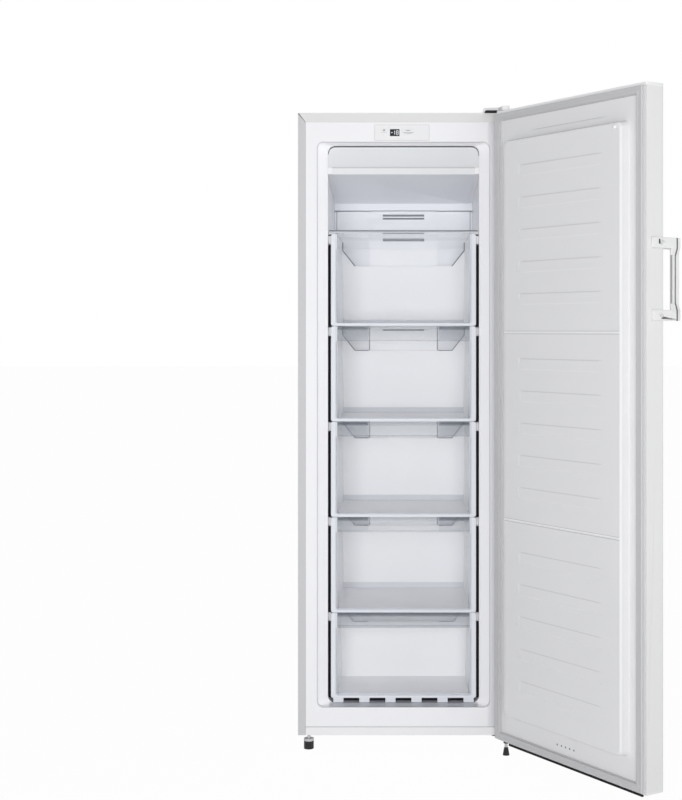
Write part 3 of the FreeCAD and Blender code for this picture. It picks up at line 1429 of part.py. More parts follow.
# ------------------------------------------------------------------ all pieces
def freezer():
    parts = {
        "side_panel_left": side_panel(-1),
        "side_panel_right": side_panel(1),
        "top_panel": top_panel(),
        "back_panel": back_panel(),
        "floor_pan": floor_pan(),
        "base_frame": base_frame(),
        "kick_panel": kick_panel(),
        "inner_liner": inner_liner(),
        "cabinet_foam": cabinet_foam(),
        "evaporator_cover": evaporator_cover(),
        "evaporator_tube": evaporator_tube(),
        "evaporator_fins": evaporator_fins(),
        "defrost_heater": defrost_heater(),
        "fan_frame": fan_frame(),
        "fan_motor": fan_motor(),
        "fan_blade": fan_blade(),
        "ceiling_duct": ceiling_duct(),
        "glass_shelf": glass_shelf(),
        "shelf_trim": shelf_trim(),
        "drawer_runners": drawer_runners(),
        "control_bezel": control_bezel(),
        "display_window": display_window(),
        "control_board": control_board(),
        "compressor": compressor(),
        "compressor_mounts": compressor_mounts(),
        "condenser_tube": condenser_tube(),
        "filter_drier": filter_drier(),
        "drip_tray": drip_tray(),
        "drain_tube": drain_tube(),
        "compressor_cover": compressor_cover(),
        "cord_inlet": cord_inlet(),
        "top_hinge": top_hinge(),
        "top_hinge_cover": top_hinge_cover(),
        "bottom_hinge": bottom_hinge(),
        "hinge_screws": hinge_screws(),
        "front_foot_left": front_foot_left(),
        "front_foot_right": front_foot_right(),
        "rear_feet": rear_feet(),
    }
    for name in BUTTONS:
        parts[name] = control_button(name)
    for index in range(DRAWER_COUNT):
        parts[f"drawer_bin_{index + 1}"] = drawer_bin(index)
        parts[f"drawer_front_{index + 1}"] = drawer_front(index)
    door = {
        "door_skin": door_skin(),
        "door_top_cap": door_top_cap(),
        "door_bottom_cap": door_bottom_cap(),
        "door_liner": door_liner(),
        "door_foam": door_foam(),
        "door_gasket": door_gasket(),
        "door_bushings": door_bushings(),
        "handle_bar": handle_bar(),
        "handle_mounts": handle_mounts(),
        "handle_screws": handle_screws(),
    }
    for name, shape in door.items():
        parts[name] = opened(shape)
    return parts


os.makedirs("parts", exist_ok=True)
for name, shape in freezer().items():
    shape.exportStep(os.path.join("parts", f"{name}.step"))
    solids, litres = len(shape.Solids), shape.Volume / 1e6
    print(f"{name:20s} solids {solids:3d}  valid {shape.isValid()}  litres {litres:8.3f}")
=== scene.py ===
import math

import bpy
from mathutils import Matrix, Vector


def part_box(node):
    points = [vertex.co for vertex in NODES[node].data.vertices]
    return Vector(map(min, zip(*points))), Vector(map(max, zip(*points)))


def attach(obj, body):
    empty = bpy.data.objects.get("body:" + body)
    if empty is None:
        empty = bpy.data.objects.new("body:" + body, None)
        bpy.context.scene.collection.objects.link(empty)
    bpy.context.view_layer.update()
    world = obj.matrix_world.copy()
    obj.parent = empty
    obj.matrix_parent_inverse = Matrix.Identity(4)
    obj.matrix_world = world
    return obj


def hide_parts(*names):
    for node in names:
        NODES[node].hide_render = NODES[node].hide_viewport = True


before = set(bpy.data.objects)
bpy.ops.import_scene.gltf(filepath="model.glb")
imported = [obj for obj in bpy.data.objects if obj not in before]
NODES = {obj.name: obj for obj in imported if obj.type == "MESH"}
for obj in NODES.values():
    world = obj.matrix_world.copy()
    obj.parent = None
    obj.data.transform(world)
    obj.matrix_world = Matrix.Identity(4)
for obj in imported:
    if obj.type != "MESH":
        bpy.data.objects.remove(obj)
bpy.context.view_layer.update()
MM = 0.001

# sizes of the part, in metres
FRONT = -0.250  # front plane of the carcass
HALF = 0.277  # half the width of carcass and door
ROOM_HALF = 0.200  # half the width of the cold room
MOUTH_HALF, MOUTH_LOW, MOUTH_HIGH = 0.226, 0.115, 1.598  # its mouth in the front plane
MOUTH_CORNER = 0.015
SHELF = 1.368  # top of the glass shelf
DRAWER_FRONT = -0.218  # front plane of the drawers and of the duct
DRAWER_PITCH = 0.253
DRAWERS = range(1, 6)
FRONT_RIM = 0.1805  # where the side rim of a drawer front starts, from the middle
FRONT_BAND = 0.039  # height of its top band
FRONT_FOOT = 0.007  # height of its bottom rim
BIN_WALL = 0.1750  # inner face of a bin's side wall
BIN_BACK = 0.1365  # inner face of its back wall
CORNER_RISE = 0.019  # curve between its floor and its back wall
NOTCH_SIDE, NOTCH_INNER = 0.1757, 0.1402  # where the slope of the back wall's notch starts and ends
NOTCH_SLOPE, NOTCH_DEPTH = 0.0245, 0.0693
COLUMN = 0.095  # half the width of the air column on the back wall
COLUMN_FACE = 0.142
COLUMN_SHOWS = 1.115  # below this level the drawers' notches show the column's edges
SLOT_HALF = 0.060
# level and height of each slot in the column and above it
SLOTS = ((1.4365, 0.006), (1.4275, 0.005), (1.387, 0.008), (1.366, 0.008), (1.105, 0.005))
DUCT_TOP = 1.590  # upper edge of the duct's fascia
DUCT_EDGE = 1.535  # its lower edge
DUCT_LOW = 1.5165  # lower edge of the lip under it
DUCT_REAR = 1.471  # rear end of the duct's underside
FOOT_PAD = 0.021  # height of the black pad of a front foot

# The door is described as if shut, and swung open about its hinge pins.
DOOR_ANGLE = math.radians(124.2)
HINGE_PIN = Vector((0.267, -0.285, 0))
OPENING = Matrix.Translation(HINGE_PIN) @ Matrix.Rotation(DOOR_ANGLE, 4, "Z") @ Matrix.Translation(-HINGE_PIN)
DOOR_IN = -0.262  # inner face of the shut door
DOOR_BOTTOM, DOOR_TOP = 0.043, 1.672
DOOR_MIDDLE = 1.05  # a level that tells the upper cap from the lower one
PLUG_TOP, PLUG_BOTTOM, PLUG_HALF = 1.590, 0.118, 0.221  # raised middle of the door's inner wall
PLUG_FACE = DOOR_IN + 0.025
PLUG_CREASE = 1.6082  # crease in the wall over the plug
DOTS_LEVEL, DOTS_FIRST, DOTS_PITCH = 0.086, 0.0353, 0.0154  # vent dimples
SEAL_DROP = 0.0035  # the seal sits this much lower at the door's top edge
POCKET_HALF = 0.155  # half the length of a pocket in the plug
POCKET_COUNT, POCKET_PITCH = 5, 0.081  # pockets in a group
POCKET_GROUP = 0.487  # from one group to the next
POCKET_FIRST = 0.0695  # from the top of a group's field to its first pocket's upper edge
POCKET_ABOVE = 0.002  # how far above its upper edge a pocket's own stretch starts
GROOVES = (1.099, 0.623)  # levels of the grooves between the groups
SEAM_IN, SEAM_OUT = -0.351, -0.3555  # groove round the handle

SOFT_LIGHT = 0.33  # strength of the even light from all round
FRONT_POWER, RIGHT_POWER = 126, 24
FLOOR_GLOW = 0.975


# ---------------------------------------- camera, room and lamps
def set_up_camera():
    data = bpy.data.cameras.new("camera")
    data.lens = 64.6
    data.shift_x, data.shift_y = -0.0781, -0.0875
    camera = bpy.data.objects.new("camera", data)
    camera.location = (0, -4.019, 1.105)
    camera.rotation_euler = (math.radians(90), 0, 0)
    bpy.context.scene.collection.objects.link(camera)
    bpy.context.scene.camera = camera


def seen_rays(tree):
    """1 for rays of the camera, of mirrors and through glass, else 0."""
    path = tree.nodes.new("ShaderNodeLightPath")
    share = add_math(tree, "MAXIMUM", path.outputs["Is Camera Ray"], path.outputs["Is Glossy Ray"])
    return add_math(tree, "MAXIMUM", share, path.outputs["Is Transmission Ray"])


def add_math(tree, operation, a, b=0.0, clamp=False):
    node = tree.nodes.new("ShaderNodeMath")
    node.operation = operation
    node.use_clamp = clamp
    for socket, value in zip(node.inputs, (a, b)):
        if isinstance(value, (int, float)):
            socket.default_value = value
        else:
            tree.links.new(value, socket)
    return node.outputs[0]


def new_material(name):
    material = bpy.data.materials.new(name)
    material.use_nodes = True
    tree = material.node_tree
    return material, tree, tree.nodes["Principled BSDF"]


def set_up_world():
    world = bpy.data.worlds.new("studio")
    bpy.context.scene.world = world
    world.use_nodes = True
    tree = world.node_tree
    tree.nodes.clear()
    out = tree.nodes.new("ShaderNodeOutputWorld")
    mix = tree.nodes.new("ShaderNodeMixShader")
    soft = tree.nodes.new("ShaderNodeBackground")
    white = tree.nodes.new("ShaderNodeBackground")
    soft.inputs["Color"].default_value = (0.97, 0.98, 1.0, 1)
    soft.inputs["Strength"].default_value = SOFT_LIGHT
    white.inputs["Color"].default_value = (1, 1, 1, 1)
    white.inputs["Strength"].default_value = 1.0
    tree.links.new(seen_rays(tree), mix.inputs["Fac"])
    tree.links.new(soft.outputs[0], mix.inputs[1])
    tree.links.new(white.outputs[0], mix.inputs[2])
    tree.links.new(mix.outputs[0], out.inputs["Surface"])


def add_lamp(name, place, target, size, power):
    data = bpy.data.lights.new(name, "AREA")
    data.shape = "RECTANGLE"
    data.size, data.size_y = size
    data.energy = power
    lamp = bpy.data.objects.new(name, data)
    lamp.location = place
    way = Vector(target) - Vector(place)
    lamp.rotation_euler = way.to_track_quat("-Z", "Y").to_euler()
    bpy.context.scene.collection.objects.link(lamp)
    return lamp


def set_up_lamps():
    front = add_lamp(
        "front lamp", place=(-0.15, -5.2, 1.15), target=(0, 0, 0.9), size=(2.0, 1.4), power=FRONT_POWER
    )
    front.visible_glossy = False
    add_lamp("right lamp", place=(3.4, -3.2, 1.9), target=(0, -0.2, 0.9), size=(1.6, 2.0), power=RIGHT_POWER)


def lay_floor():
    mesh = bpy.data.meshes.new("floor")
    reach = 40.0
    corners = [(-reach, -reach, 0), (reach, -reach, 0), (reach, reach, 0), (-reach, reach, 0)]
    mesh.from_pydata(corners, [], [(0, 1, 2, 3)])
    floor = bpy.data.objects.new("floor", mesh)
    bpy.context.scene.collection.objects.link(floor)
    material, tree, surface = new_material("pale floor")
    surface.inputs["Base Color"].default_value = (0.86, 0.86, 0.86, 1)
    surface.inputs["Roughness"].default_value = 0.9
    surface.inputs["Specular IOR Level"].default_value = 0.1
    glow = tree.nodes.new("ShaderNodeEmission")
    mix = tree.nodes.new("ShaderNodeMixShader")
    share = add_math(tree, "MULTIPLY", seen_rays(tree), FLOOR_GLOW)
    tree.links.new(share, mix.inputs["Fac"])
    tree.links.new(surface.outputs[0], mix.inputs[1])
    tree.links.new(glow.outputs[0], mix.inputs[2])
    tree.links.new(mix.outputs[0], tree.nodes["Material Output"].inputs["Surface"])
    mesh.materials.append(material)


# ---------------------------------------- effects shared by the finishes
def new_effect(name, inputs, outputs):
    tree = bpy.data.node_groups.new(name, "ShaderNodeTree")
    for label, kind, default in inputs:
        socket = tree.interface.new_socket(label, in_out="INPUT", socket_type=kind)
        socket.default_value = default
    for label, kind in outputs:
        tree.interface.new_socket(label, in_out="OUTPUT", socket_type=kind)
    return tree, tree.nodes.new("NodeGroupInput"), tree.nodes.new("NodeGroupOutput")


def add_noise(tree, scale, detail=3.0, stretch=None):
    """Noise in the piece's own metres; the stretch squeezes it along some axes."""
    place = tree.nodes.new("ShaderNodeTexCoord").outputs["Object"]
    if stretch:
        mapping = tree.nodes.new("ShaderNodeMapping")
        mapping.inputs["Scale"].default_value = stretch
        tree.links.new(place, mapping.inputs["Vector"])
        place = mapping.outputs[0]
    noise = tree.nodes.new("ShaderNodeTexNoise")
    noise.inputs["Detail"].default_value = detail
    tree.links.new(place, noise.inputs["Vector"])
    tree.links.new(scale, noise.inputs["Scale"])
    return noise.outputs["Fac"]


def add_swing(tree, start, detail=3.0):
    """Noise to both sides of 0, as strong as the effect's amount."""
    noise = add_noise(tree, start.outputs["Scale"], detail)
    return add_math(tree, "MULTIPLY", add_math(tree, "SUBTRACT", noise, 0.5), start.outputs["Amount"])


FLOAT, COLOUR = "NodeSocketFloat", "NodeSocketColor"


def make_uneven_tone():
    """Colour that is a little lighter and darker from place to place."""
    inputs = [("Colour", COLOUR, (1, 1, 1, 1)), ("Amount", FLOAT, 0.03), ("Scale", FLOAT, 4.0)]
    tree, start, end = new_effect("uneven tone", inputs, [("Colour", COLOUR)])
    scale = tree.nodes.new("ShaderNodeVectorMath")
    scale.operation = "SCALE"
    tree.links.new(start.outputs["Colour"], scale.inputs[0])
    tree.links.new(add_math(tree, "ADD", add_swing(tree, start), 1.0), scale.inputs["Scale"])
    tree.links.new(scale.outputs[0], end.inputs["Colour"])
    return tree


def make_smudged_gloss():
    """Roughness that wanders, as on a wiped surface."""
    inputs = [("Roughness", FLOAT, 0.3), ("Amount", FLOAT, 0.1), ("Scale", FLOAT, 6.0)]
    tree, start, end = new_effect("smudged gloss", inputs, [("Roughness", FLOAT)])
    rough = add_math(tree, "ADD", add_swing(tree, start, 4.0), start.outputs["Roughness"], clamp=True)
    tree.links.new(rough, end.inputs["Roughness"])
    return tree


def make_fine_skin():
    """Height of a sprayed or moulded skin: soft pimples."""
    inputs = [("Scale", FLOAT, 900.0), ("Softness", FLOAT, 0.5)]
    tree, start, end = new_effect("fine skin", inputs, [("Height", FLOAT)])
    fine = add_noise(tree, start.outputs["Scale"], 2.0)
    broad = add_noise(tree, add_math(tree, "MULTIPLY", start.outputs["Scale"], 0.08), 1.0)
    waves = add_math(tree, "MULTIPLY", broad, start.outputs["Softness"])
    tree.links.new(add_math(tree, "ADD", fine, waves), end.inputs["Height"])
    return tree


def make_drawn_lines():
    """Height and streaks of rolled or drawn metal, along X."""
    outputs = [("Height", FLOAT), ("Streaks", FLOAT)]
    tree, start, end = new_effect("drawn lines", [("Scale", FLOAT, 60.0)], outputs)
    streaks = add_noise(tree, start.outputs["Scale"], 5.0, (0.04, 1.0, 1.0))
    tree.links.new(streaks, end.inputs["Height"])
    tree.links.new(streaks, end.inputs["Streaks"])
    return tree


UNEVEN_TONE, SMUDGED_GLOSS = make_uneven_tone(), make_smudged_gloss()
FINE_SKIN, DRAWN_LINES = make_fine_skin(), make_drawn_lines()


def place_effect(tree, effect, **values):
    node = tree.nodes.new("ShaderNodeGroup")
    node.node_tree = effect
    for label, value in values.items():
        node.inputs[label].default_value = (*value, 1) if isinstance(value, tuple) else value
    return node


def add_bump(tree, surface, height, strength, distance):
    bump = tree.nodes.new("ShaderNodeBump")
    bump.inputs["Strength"].default_value = strength
    bump.inputs["Distance"].default_value = distance
    tree.links.new(height, bump.inputs["Height"])
    tree.links.new(bump.outputs["Normal"], surface.inputs["Normal"])


def make_finish(name, colour, roughness, skin=900.0, depth=0.05, tone=0.03, tone_scale=4.0, smudge=0.08):
    """Opaque finish: uneven colour, wandering gloss and a fine skin."""
    material, tree, surface = new_material(name)
    surface.inputs["IOR"].default_value = 1.5
    tint = place_effect(tree, UNEVEN_TONE, Colour=colour, Amount=tone, Scale=tone_scale)
    gloss = place_effect(tree, SMUDGED_GLOSS, Roughness=roughness, Amount=smudge)
    peel = place_effect(tree, FINE_SKIN, Scale=skin)
    tree.links.new(tint.outputs["Colour"], surface.inputs["Base Color"])
    tree.links.new(gloss.outputs["Roughness"], surface.inputs["Roughness"])
    add_bump(tree, surface, peel.outputs["Height"], depth, 0.5 * MM)
    return material


def make_metal(name, colour, roughness):
    """Bare metal with fine drawn lines."""
    material, tree, surface = new_material(name)
    surface.inputs["Metallic"].default_value = 1.0
    tint = place_effect(tree, UNEVEN_TONE, Colour=colour, Amount=0.08, Scale=25.0)
    streaks = place_effect(tree, DRAWN_LINES, Scale=60.0)
    spread = add_math(tree, "MULTIPLY", streaks.outputs["Streaks"], 0.18)
    tree.links.new(tint.outputs["Colour"], surface.inputs["Base Color"])
    tree.links.new(add_math(tree, "ADD", spread, roughness), surface.inputs["Roughness"])
    add_bump(tree, surface, streaks.outputs["Height"], 0.15, 0.3 * MM)
    return material


def make_clear(name, colour, low, high, roughness=0.12, ior=1.5):
    """See-through plastic or glass: thin where seen square on, dense where seen along its wall."""
    material, tree, surface = new_material(name)
    surface.inputs["IOR"].default_value = ior
    tint = place_effect(tree, UNEVEN_TONE, Colour=colour, Amount=0.05, Scale=5.0)
    gloss = place_effect(tree, SMUDGED_GLOSS, Roughness=roughness, Amount=0.06, Scale=14.0)
    facing = tree.nodes.new("ShaderNodeLayerWeight")
    facing.inputs["Blend"].default_value = 0.35
    dense = add_math(tree, "MULTIPLY", facing.outputs["Facing"], high - low)
    tree.links.new(tint.outputs["Colour"], surface.inputs["Base Color"])
    tree.links.new(gloss.outputs["Roughness"], surface.inputs["Roughness"])
    tree.links.new(add_math(tree, "ADD", dense, low), surface.inputs["Alpha"])
    return material


def make_pane_mask():
    """Parts of a drawer front: its rims, its top band, that band's upper shade and lower edge, where sheen,
    shadow and shade are painted.
    """
    tree, start, end = new_effect(
        "drawer front parts",
        [("Top", FLOAT, SHELF), ("Bottom", FLOAT, 0.0), ("Middle", FLOAT, 0.8)],
        [("Rim", FLOAT), ("Wall", FLOAT), ("Band", FLOAT), ("Shade", FLOAT), ("Edge", FLOAT)],
    )
    height = add_axes(tree)["Z"]
    aside = aside_of_middle(tree)
    below_top = add_math(tree, "SUBTRACT", start.outputs["Top"], height)
    rise = add_math(tree, "SUBTRACT", height, start.outputs["Bottom"])
    side = past(tree, aside, FRONT_RIM, 0.4 * MM)
    foot = within(tree, rise, FRONT_FOOT, 0.6 * MM)
    over_column = within(tree, aside, COLUMN - 1 * MM, 3 * MM)
    clear = add_math(tree, "MULTIPLY", over_column, start.outputs["Middle"])
    shade = within(tree, below_top, 9.5 * MM, 3.5 * MM)
    edge = add_math(tree, "ABSOLUTE", add_math(tree, "SUBTRACT", below_top, FRONT_BAND - 1 * MM))
    band = within(tree, below_top, FRONT_BAND, 0.4 * MM)
    thinned = add_math(tree, "SUBTRACT", 1.0, add_math(tree, "MULTIPLY", clear, 0.75))
    for part, share in (
        ("Rim", add_math(tree, "MAXIMUM", side, foot)),
        ("Wall", past(tree, aside, BIN_WALL, 0.6 * MM)),
        ("Band", both(tree, band, thinned)),
        ("Shade", both(tree, shade, add_math(tree, "SUBTRACT", 1.0, clear))),
        ("Edge", within(tree, edge, 1.2 * MM, 0.6 * MM)),
    ):
        tree.links.new(share, end.inputs[part])
    return tree


def add_axes(tree):
    """The piece's own x, y and z in metres."""
    axes = tree.nodes.new("ShaderNodeSeparateXYZ")
    tree.links.new(tree.nodes.new("ShaderNodeTexCoord").outputs["Object"], axes.inputs[0])
    return {"X": axes.outputs["X"], "Y": axes.outputs["Y"], "Z": axes.outputs["Z"]}


def add_step(tree, value, start, stop):
    """0 before the start, 1 past the stop, smooth between; it falls where the stop is the smaller."""
    node = tree.nodes.new("ShaderNodeMapRange")
    node.interpolation_type = "SMOOTHSTEP"
    tree.links.new(value, node.inputs["Value"])
    node.inputs["From Min"].default_value = min(start, stop)
    node.inputs["From Max"].default_value = max(start, stop)
    node.inputs["To Min"].default_value = 0.0 if start < stop else 1.0
    node.inputs["To Max"].default_value = 1.0 if start < stop else 0.0
    return node.outputs["Result"]


def mix_colours(tree, share, first, second):
    node = tree.nodes.new("ShaderNodeMix")
    node.data_type = "RGBA"
    tree.links.new(share, node.inputs["Factor"])
    for socket, value in zip((node.inputs["A"], node.inputs["B"]), (first, second)):
        if isinstance(value, tuple):
            socket.default_value = (*value, 1)
        else:
            tree.links.new(value, socket)
    return node.outputs["Result"]


def mix_values(tree, share, first, second):
    node = tree.nodes.new("ShaderNodeMix")
    tree.links.new(share, node.inputs["Factor"])
    for socket, value in zip((node.inputs["A"], node.inputs["B"]), (first, second)):
        if isinstance(value, (int, float)):
            socket.default_value = value
        else:
            tree.links.new(value, socket)
    return node.outputs["Result"]


def make_drawer_pane(number, band, shade, edge, middle):
    """Clear drawer front: a faint tint in the window, a top band greyed by painted shadow, painted shade at
    its top and lower edge, and pale rims of painted sheen.
    """
    material = make_clear(f"clear drawer front {number}", (0.74, 0.77, 0.82), 0.015, 0.12, 0.22)
    tree = material.node_tree
    surface = tree.nodes["Principled BSDF"]
    low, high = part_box(f"drawer_bin_{number}")
    parts = place_effect(tree, PANE_MASK, Top=high[2], Bottom=low[2], Middle=middle)
    tint = surface.inputs["Base Color"].links[0].from_socket
    dense = surface.inputs["Alpha"].links[0].from_socket
    # Band, Shade and Edge are painted shadow and shade; Rim is painted sheen of clear plastic seen along its
    # walls
    for part, colour, amount in (
        ("Band", (0.40, 0.43, 0.48), band),
        ("Shade", (0.16, 0.18, 0.22), shade),
        ("Edge", (0.24, 0.26, 0.30), edge),
        ("Wall", (0.75, 0.77, 0.81), 0.85),
        ("Rim", (0.88, 0.90, 0.95), 0.82),
    ):
        tint = mix_colours(tree, parts.outputs[part], tint, colour)
        dense = mix_values(tree, parts.outputs[part], dense, amount)
    tree.links.new(tint, surface.inputs["Base Color"])
    tree.links.new(dense, surface.inputs["Alpha"])
    return material


def tint_where(material, mask, colour):
    """Mixes another colour in where the mask, made in the material's own tree, is 1."""
    tree = material.node_tree
    surface = tree.nodes["Principled BSDF"]
    tint = surface.inputs["Base Color"].links[0].from_socket
    tree.links.new(mix_colours(tree, mask(tree), tint, colour), surface.inputs["Base Color"])
    return material


def hide_where(material, mask):
    """Leaves the surface out where the mask is 1."""
    tree = material.node_tree
    surface = tree.nodes["Principled BSDF"]
    dense = surface.inputs["Alpha"].links[0].from_socket
    tree.links.new(mix_values(tree, mask(tree), dense, 0.0), surface.inputs["Alpha"])


def both(tree, *masks):
    share = masks[0]
    for mask in masks[1:]:
        share = add_math(tree, "MULTIPLY", share, mask)
    return share


def past(tree, value, limit, soft):
    """1 above the limit and 0 below it, smooth within the soft distance."""
    return add_step(tree, value, limit - soft, limit + soft)


def within(tree, value, limit, soft):
    """1 below the limit and 0 above it, smooth within the soft distance."""
    return add_step(tree, value, limit + soft, limit - soft)


def between(tree, value, low, high, soft=0.4 * MM):
    return both(tree, past(tree, value, low, soft), within(tree, value, high, soft))


def aside_of_middle(tree):
    return add_math(tree, "ABSOLUTE", add_axes(tree)["X"])


def behind_drawers(tree):
    return within(tree, add_axes(tree)["Z"], SHELF - 5 * MM, 5 * MM)


def beside_column(tree):
    """1 on the back wall beside the air column, where little light gets to."""
    return both(tree, past(tree, aside_of_middle(tree), COLUMN + 3 * MM, 3 * MM), behind_drawers(tree))


def strip_of_column(tree, low, high):
    """1 between two distances from the middle, where the drawers' notches show the column."""
    seen = within(tree, add_axes(tree)["Z"], COLUMN_SHOWS, 5 * MM)
    return both(tree, between(tree, aside_of_middle(tree), low, high), seen)


def column_crease_shade(tree):
    """1 in the crease beside the column, painted dark there as shade."""
    return strip_of_column(tree, COLUMN + 2.2 * MM, COLUMN + 5.2 * MM)


# painted highlight along the edge of the air column
def column_corner_highlight(tree):
    return strip_of_column(tree, COLUMN - 4.5 * MM, COLUMN + 1.5 * MM)


def wall_crease_shade(tree):
    """1 along the two ends of the back wall over the shelf, painted dark there as shade in the creases."""
    high = between(tree, add_axes(tree)["Z"], SHELF, DUCT_REAR - 12 * MM, 4 * MM)
    return both(tree, high, between(tree, aside_of_middle(tree), ROOM_HALF - 7.5 * MM, ROOM_HALF - 5.2 * MM))


def upper_edge_of_trim(tree):
    return past(tree, add_axes(tree)["Z"], SHELF - 2.3 * MM, 0.3 * MM)


def foam_gap_shade(tree):
    """1 on the foam that could show through the corner joints of the casing, painted near black there as
    shade in those gaps.
    """
    return within(tree, add_axes(tree)["Y"], FRONT + 15 * MM, 5 * MM)


# the duct's front face, where its fascia is painted darker as shade
def front_of_duct(tree):
    return within(tree, add_axes(tree)["Y"], DRAWER_FRONT + 2.25 * MM, 0.75 * MM)


def lip_of_duct(tree):
    return both(tree, front_of_duct(tree), within(tree, add_axes(tree)["Z"], DUCT_EDGE - 0.5 * MM, 0.5 * MM))


def shade_line_over_lip(tree):
    height = add_axes(tree)["Z"]
    return both(tree, front_of_duct(tree), between(tree, height, DUCT_EDGE - 2 * MM, DUCT_EDGE + 0.5 * MM))


def bin_corner_shade(tree):
    """1 on the curve between the floor and the back wall of each full bin, painted darker there as shade."""
    axes = add_axes(tree)
    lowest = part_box("drawer_bin_1")[0][2] - (len(DRAWERS) - 1) * DRAWER_PITCH
    rise = add_math(tree, "MODULO", add_math(tree, "SUBTRACT", axes["Z"], lowest), DRAWER_PITCH)
    low = within(tree, rise, CORNER_RISE - 0.5 * MM, 0.5 * MM)
    return both(tree, low, past(tree, axes["Y"], BIN_BACK - 0.75 * MM, 0.25 * MM))


def mouth_of_bin(tree):
    """1 on the front end of a bin's walls, which is joined to the drawer's front."""
    return within(tree, add_axes(tree)["Y"], DRAWER_FRONT + 21.4 * MM, 0.1 * MM)


def mouth_floor(tree):
    """1 on the lower slope of the cabinet's mouth, which the lowest drawer shades."""
    axes = add_axes(tree)
    return both(
        tree,
        within(tree, axes["Z"], MOUTH_LOW + 6 * MM, 0.5 * MM),
        past(tree, axes["Y"], FRONT + 1.5 * MM, 0.5 * MM),
        within(tree, aside_of_middle(tree), ROOM_HALF - 4 * MM, 3 * MM),
    )


def hinge_side(tree):
    """1 on the strip of the front that the open door shades."""
    axes = add_axes(tree)
    aside = past(tree, axes["X"], MOUTH_HALF - 4 * MM, 4 * MM)
    return both(tree, aside, within(tree, axes["Y"], FRONT + 12.5 * MM, 2.5 * MM))


def front_flange_shade(tree):
    """1 on the edge of a side panel that faces the front, painted darker there as shade."""
    return within(tree, add_axes(tree)["Y"], FRONT + 0.8 * MM, 0.2 * MM)


def foot_stem(tree):
    return past(tree, add_axes(tree)["Z"], FOOT_PAD, 0.5 * MM)


def make_door_place():
    """Distance along the door, depth through it and height, as on the shut door."""
    tree, _, end = new_effect("door place", [], [("X", FLOAT), ("Y", FLOAT), ("Z", FLOAT)])
    place = tree.nodes.new("ShaderNodeTexCoord").outputs["Object"]
    back = OPENING.inverted()
    for label, row in (("X", back[0]), ("Y", back[1]), ("Z", back[2])):
        dot = tree.nodes.new("ShaderNodeVectorMath")
        dot.operation = "DOT_PRODUCT"
        tree.links.new(place, dot.inputs[0])
        dot.inputs[1].default_value = row[:3]
        tree.links.new(add_math(tree, "ADD", dot.outputs["Value"], row[3]), end.inputs[label])
    return tree


DOOR_PLACE = make_door_place()


def add_door_axes(tree):
    return place_effect(tree, DOOR_PLACE).outputs


def along_door(tree, reach, soft):
    """1 where a point of the door lies less than the reach from its upright middle line."""
    return within(tree, add_math(tree, "ABSOLUTE", add_door_axes(tree)["X"]), reach, soft)


def along_plug(tree):
    return along_door(tree, PLUG_HALF - 12 * MM, 6 * MM)


# painted shade along the plug's upper edge
def plug_top_shade(tree):
    line = between(tree, add_door_axes(tree)["Z"], PLUG_TOP - 4.5 * MM, PLUG_TOP + 0.5 * MM, 1.2 * MM)
    return both(tree, along_plug(tree), line)


# painted shade along the plug's lower edge
def plug_bottom_shade(tree):
    line = between(tree, add_door_axes(tree)["Z"], PLUG_BOTTOM, PLUG_BOTTOM + 3.5 * MM, 1 * MM)
    return both(tree, along_plug(tree), line)


# painted shade in the crease over the plug
def crease_shade_over_plug(tree):
    axes = add_door_axes(tree)
    wide = between(tree, axes["X"], -135 * MM, 125 * MM, 20 * MM)
    return both(tree, wide, between(tree, axes["Z"], PLUG_CREASE - 1 * MM, PLUG_CREASE + 1 * MM, 0.8 * MM))


def below_pocket_edge(tree, low, high):
    """1 where a point of a pocket lies between two distances below the pocket's upper edge."""
    start = POCKET_PITCH - POCKET_FIRST + POCKET_ABOVE
    end = POCKET_FIRST + (POCKET_COUNT - 1) * POCKET_PITCH + 40 * MM
    fall = add_math(tree, "SUBTRACT", PLUG_TOP, add_door_axes(tree)["Z"])
    in_group = add_math(tree, "MODULO", fall, POCKET_GROUP)
    below = add_math(tree, "MODULO", add_math(tree, "ADD", in_group, start), POCKET_PITCH)
    return both(
        tree,
        along_door(tree, POCKET_HALF - 8 * MM, 12 * MM),
        between(tree, in_group, POCKET_FIRST - 10 * MM, end),
        between(tree, below, low + POCKET_ABOVE, high + POCKET_ABOVE, 0.3 * MM),
    )


# painted shade under a pocket's upper edge
def pocket_top_shade(tree):
    return below_pocket_edge(tree, -0.8 * MM, 2.0 * MM)


# painted highlight along a pocket's lower edge
def pocket_bottom_highlight(tree):
    return below_pocket_edge(tree, 25.8 * MM, 28.5 * MM)


# painted shade that tones down the light on the pockets' ends
def pocket_end_shade(tree):
    axes = add_door_axes(tree)
    aside = add_math(tree, "ABSOLUTE", axes["X"])
    return both(
        tree,
        between(tree, aside, POCKET_HALF - 1.5 * MM, POCKET_HALF + 1 * MM, 0.5 * MM),
        between(tree, axes["Y"], PLUG_FACE - 3.0 * MM, PLUG_FACE - 0.2 * MM, 0.1 * MM),
    )


def off_groove(tree):
    """Distance from the middle of the nearer of the plug's grooves."""
    height = add_door_axes(tree)["Z"]
    upper, lower = (add_math(tree, "SUBTRACT", height, level) for level in GROOVES)
    return add_math(tree, "MINIMUM", add_math(tree, "ABSOLUTE", upper), add_math(tree, "ABSOLUTE", lower))


# painted shade along the edges of the plug's grooves
def groove_edge_shade(tree):
    edges = between(tree, off_groove(tree), 2.4 * MM, 4.3 * MM, 0.3 * MM)
    return both(tree, along_door(tree, PLUG_HALF - 8 * MM, 3 * MM), edges)


# painted highlight in the floor of the plug's grooves
def groove_floor_highlight(tree):
    floor = within(tree, off_groove(tree), 2.3 * MM, 0.3 * MM)
    return both(tree, along_door(tree, PLUG_HALF - 8 * MM, 3 * MM), floor)


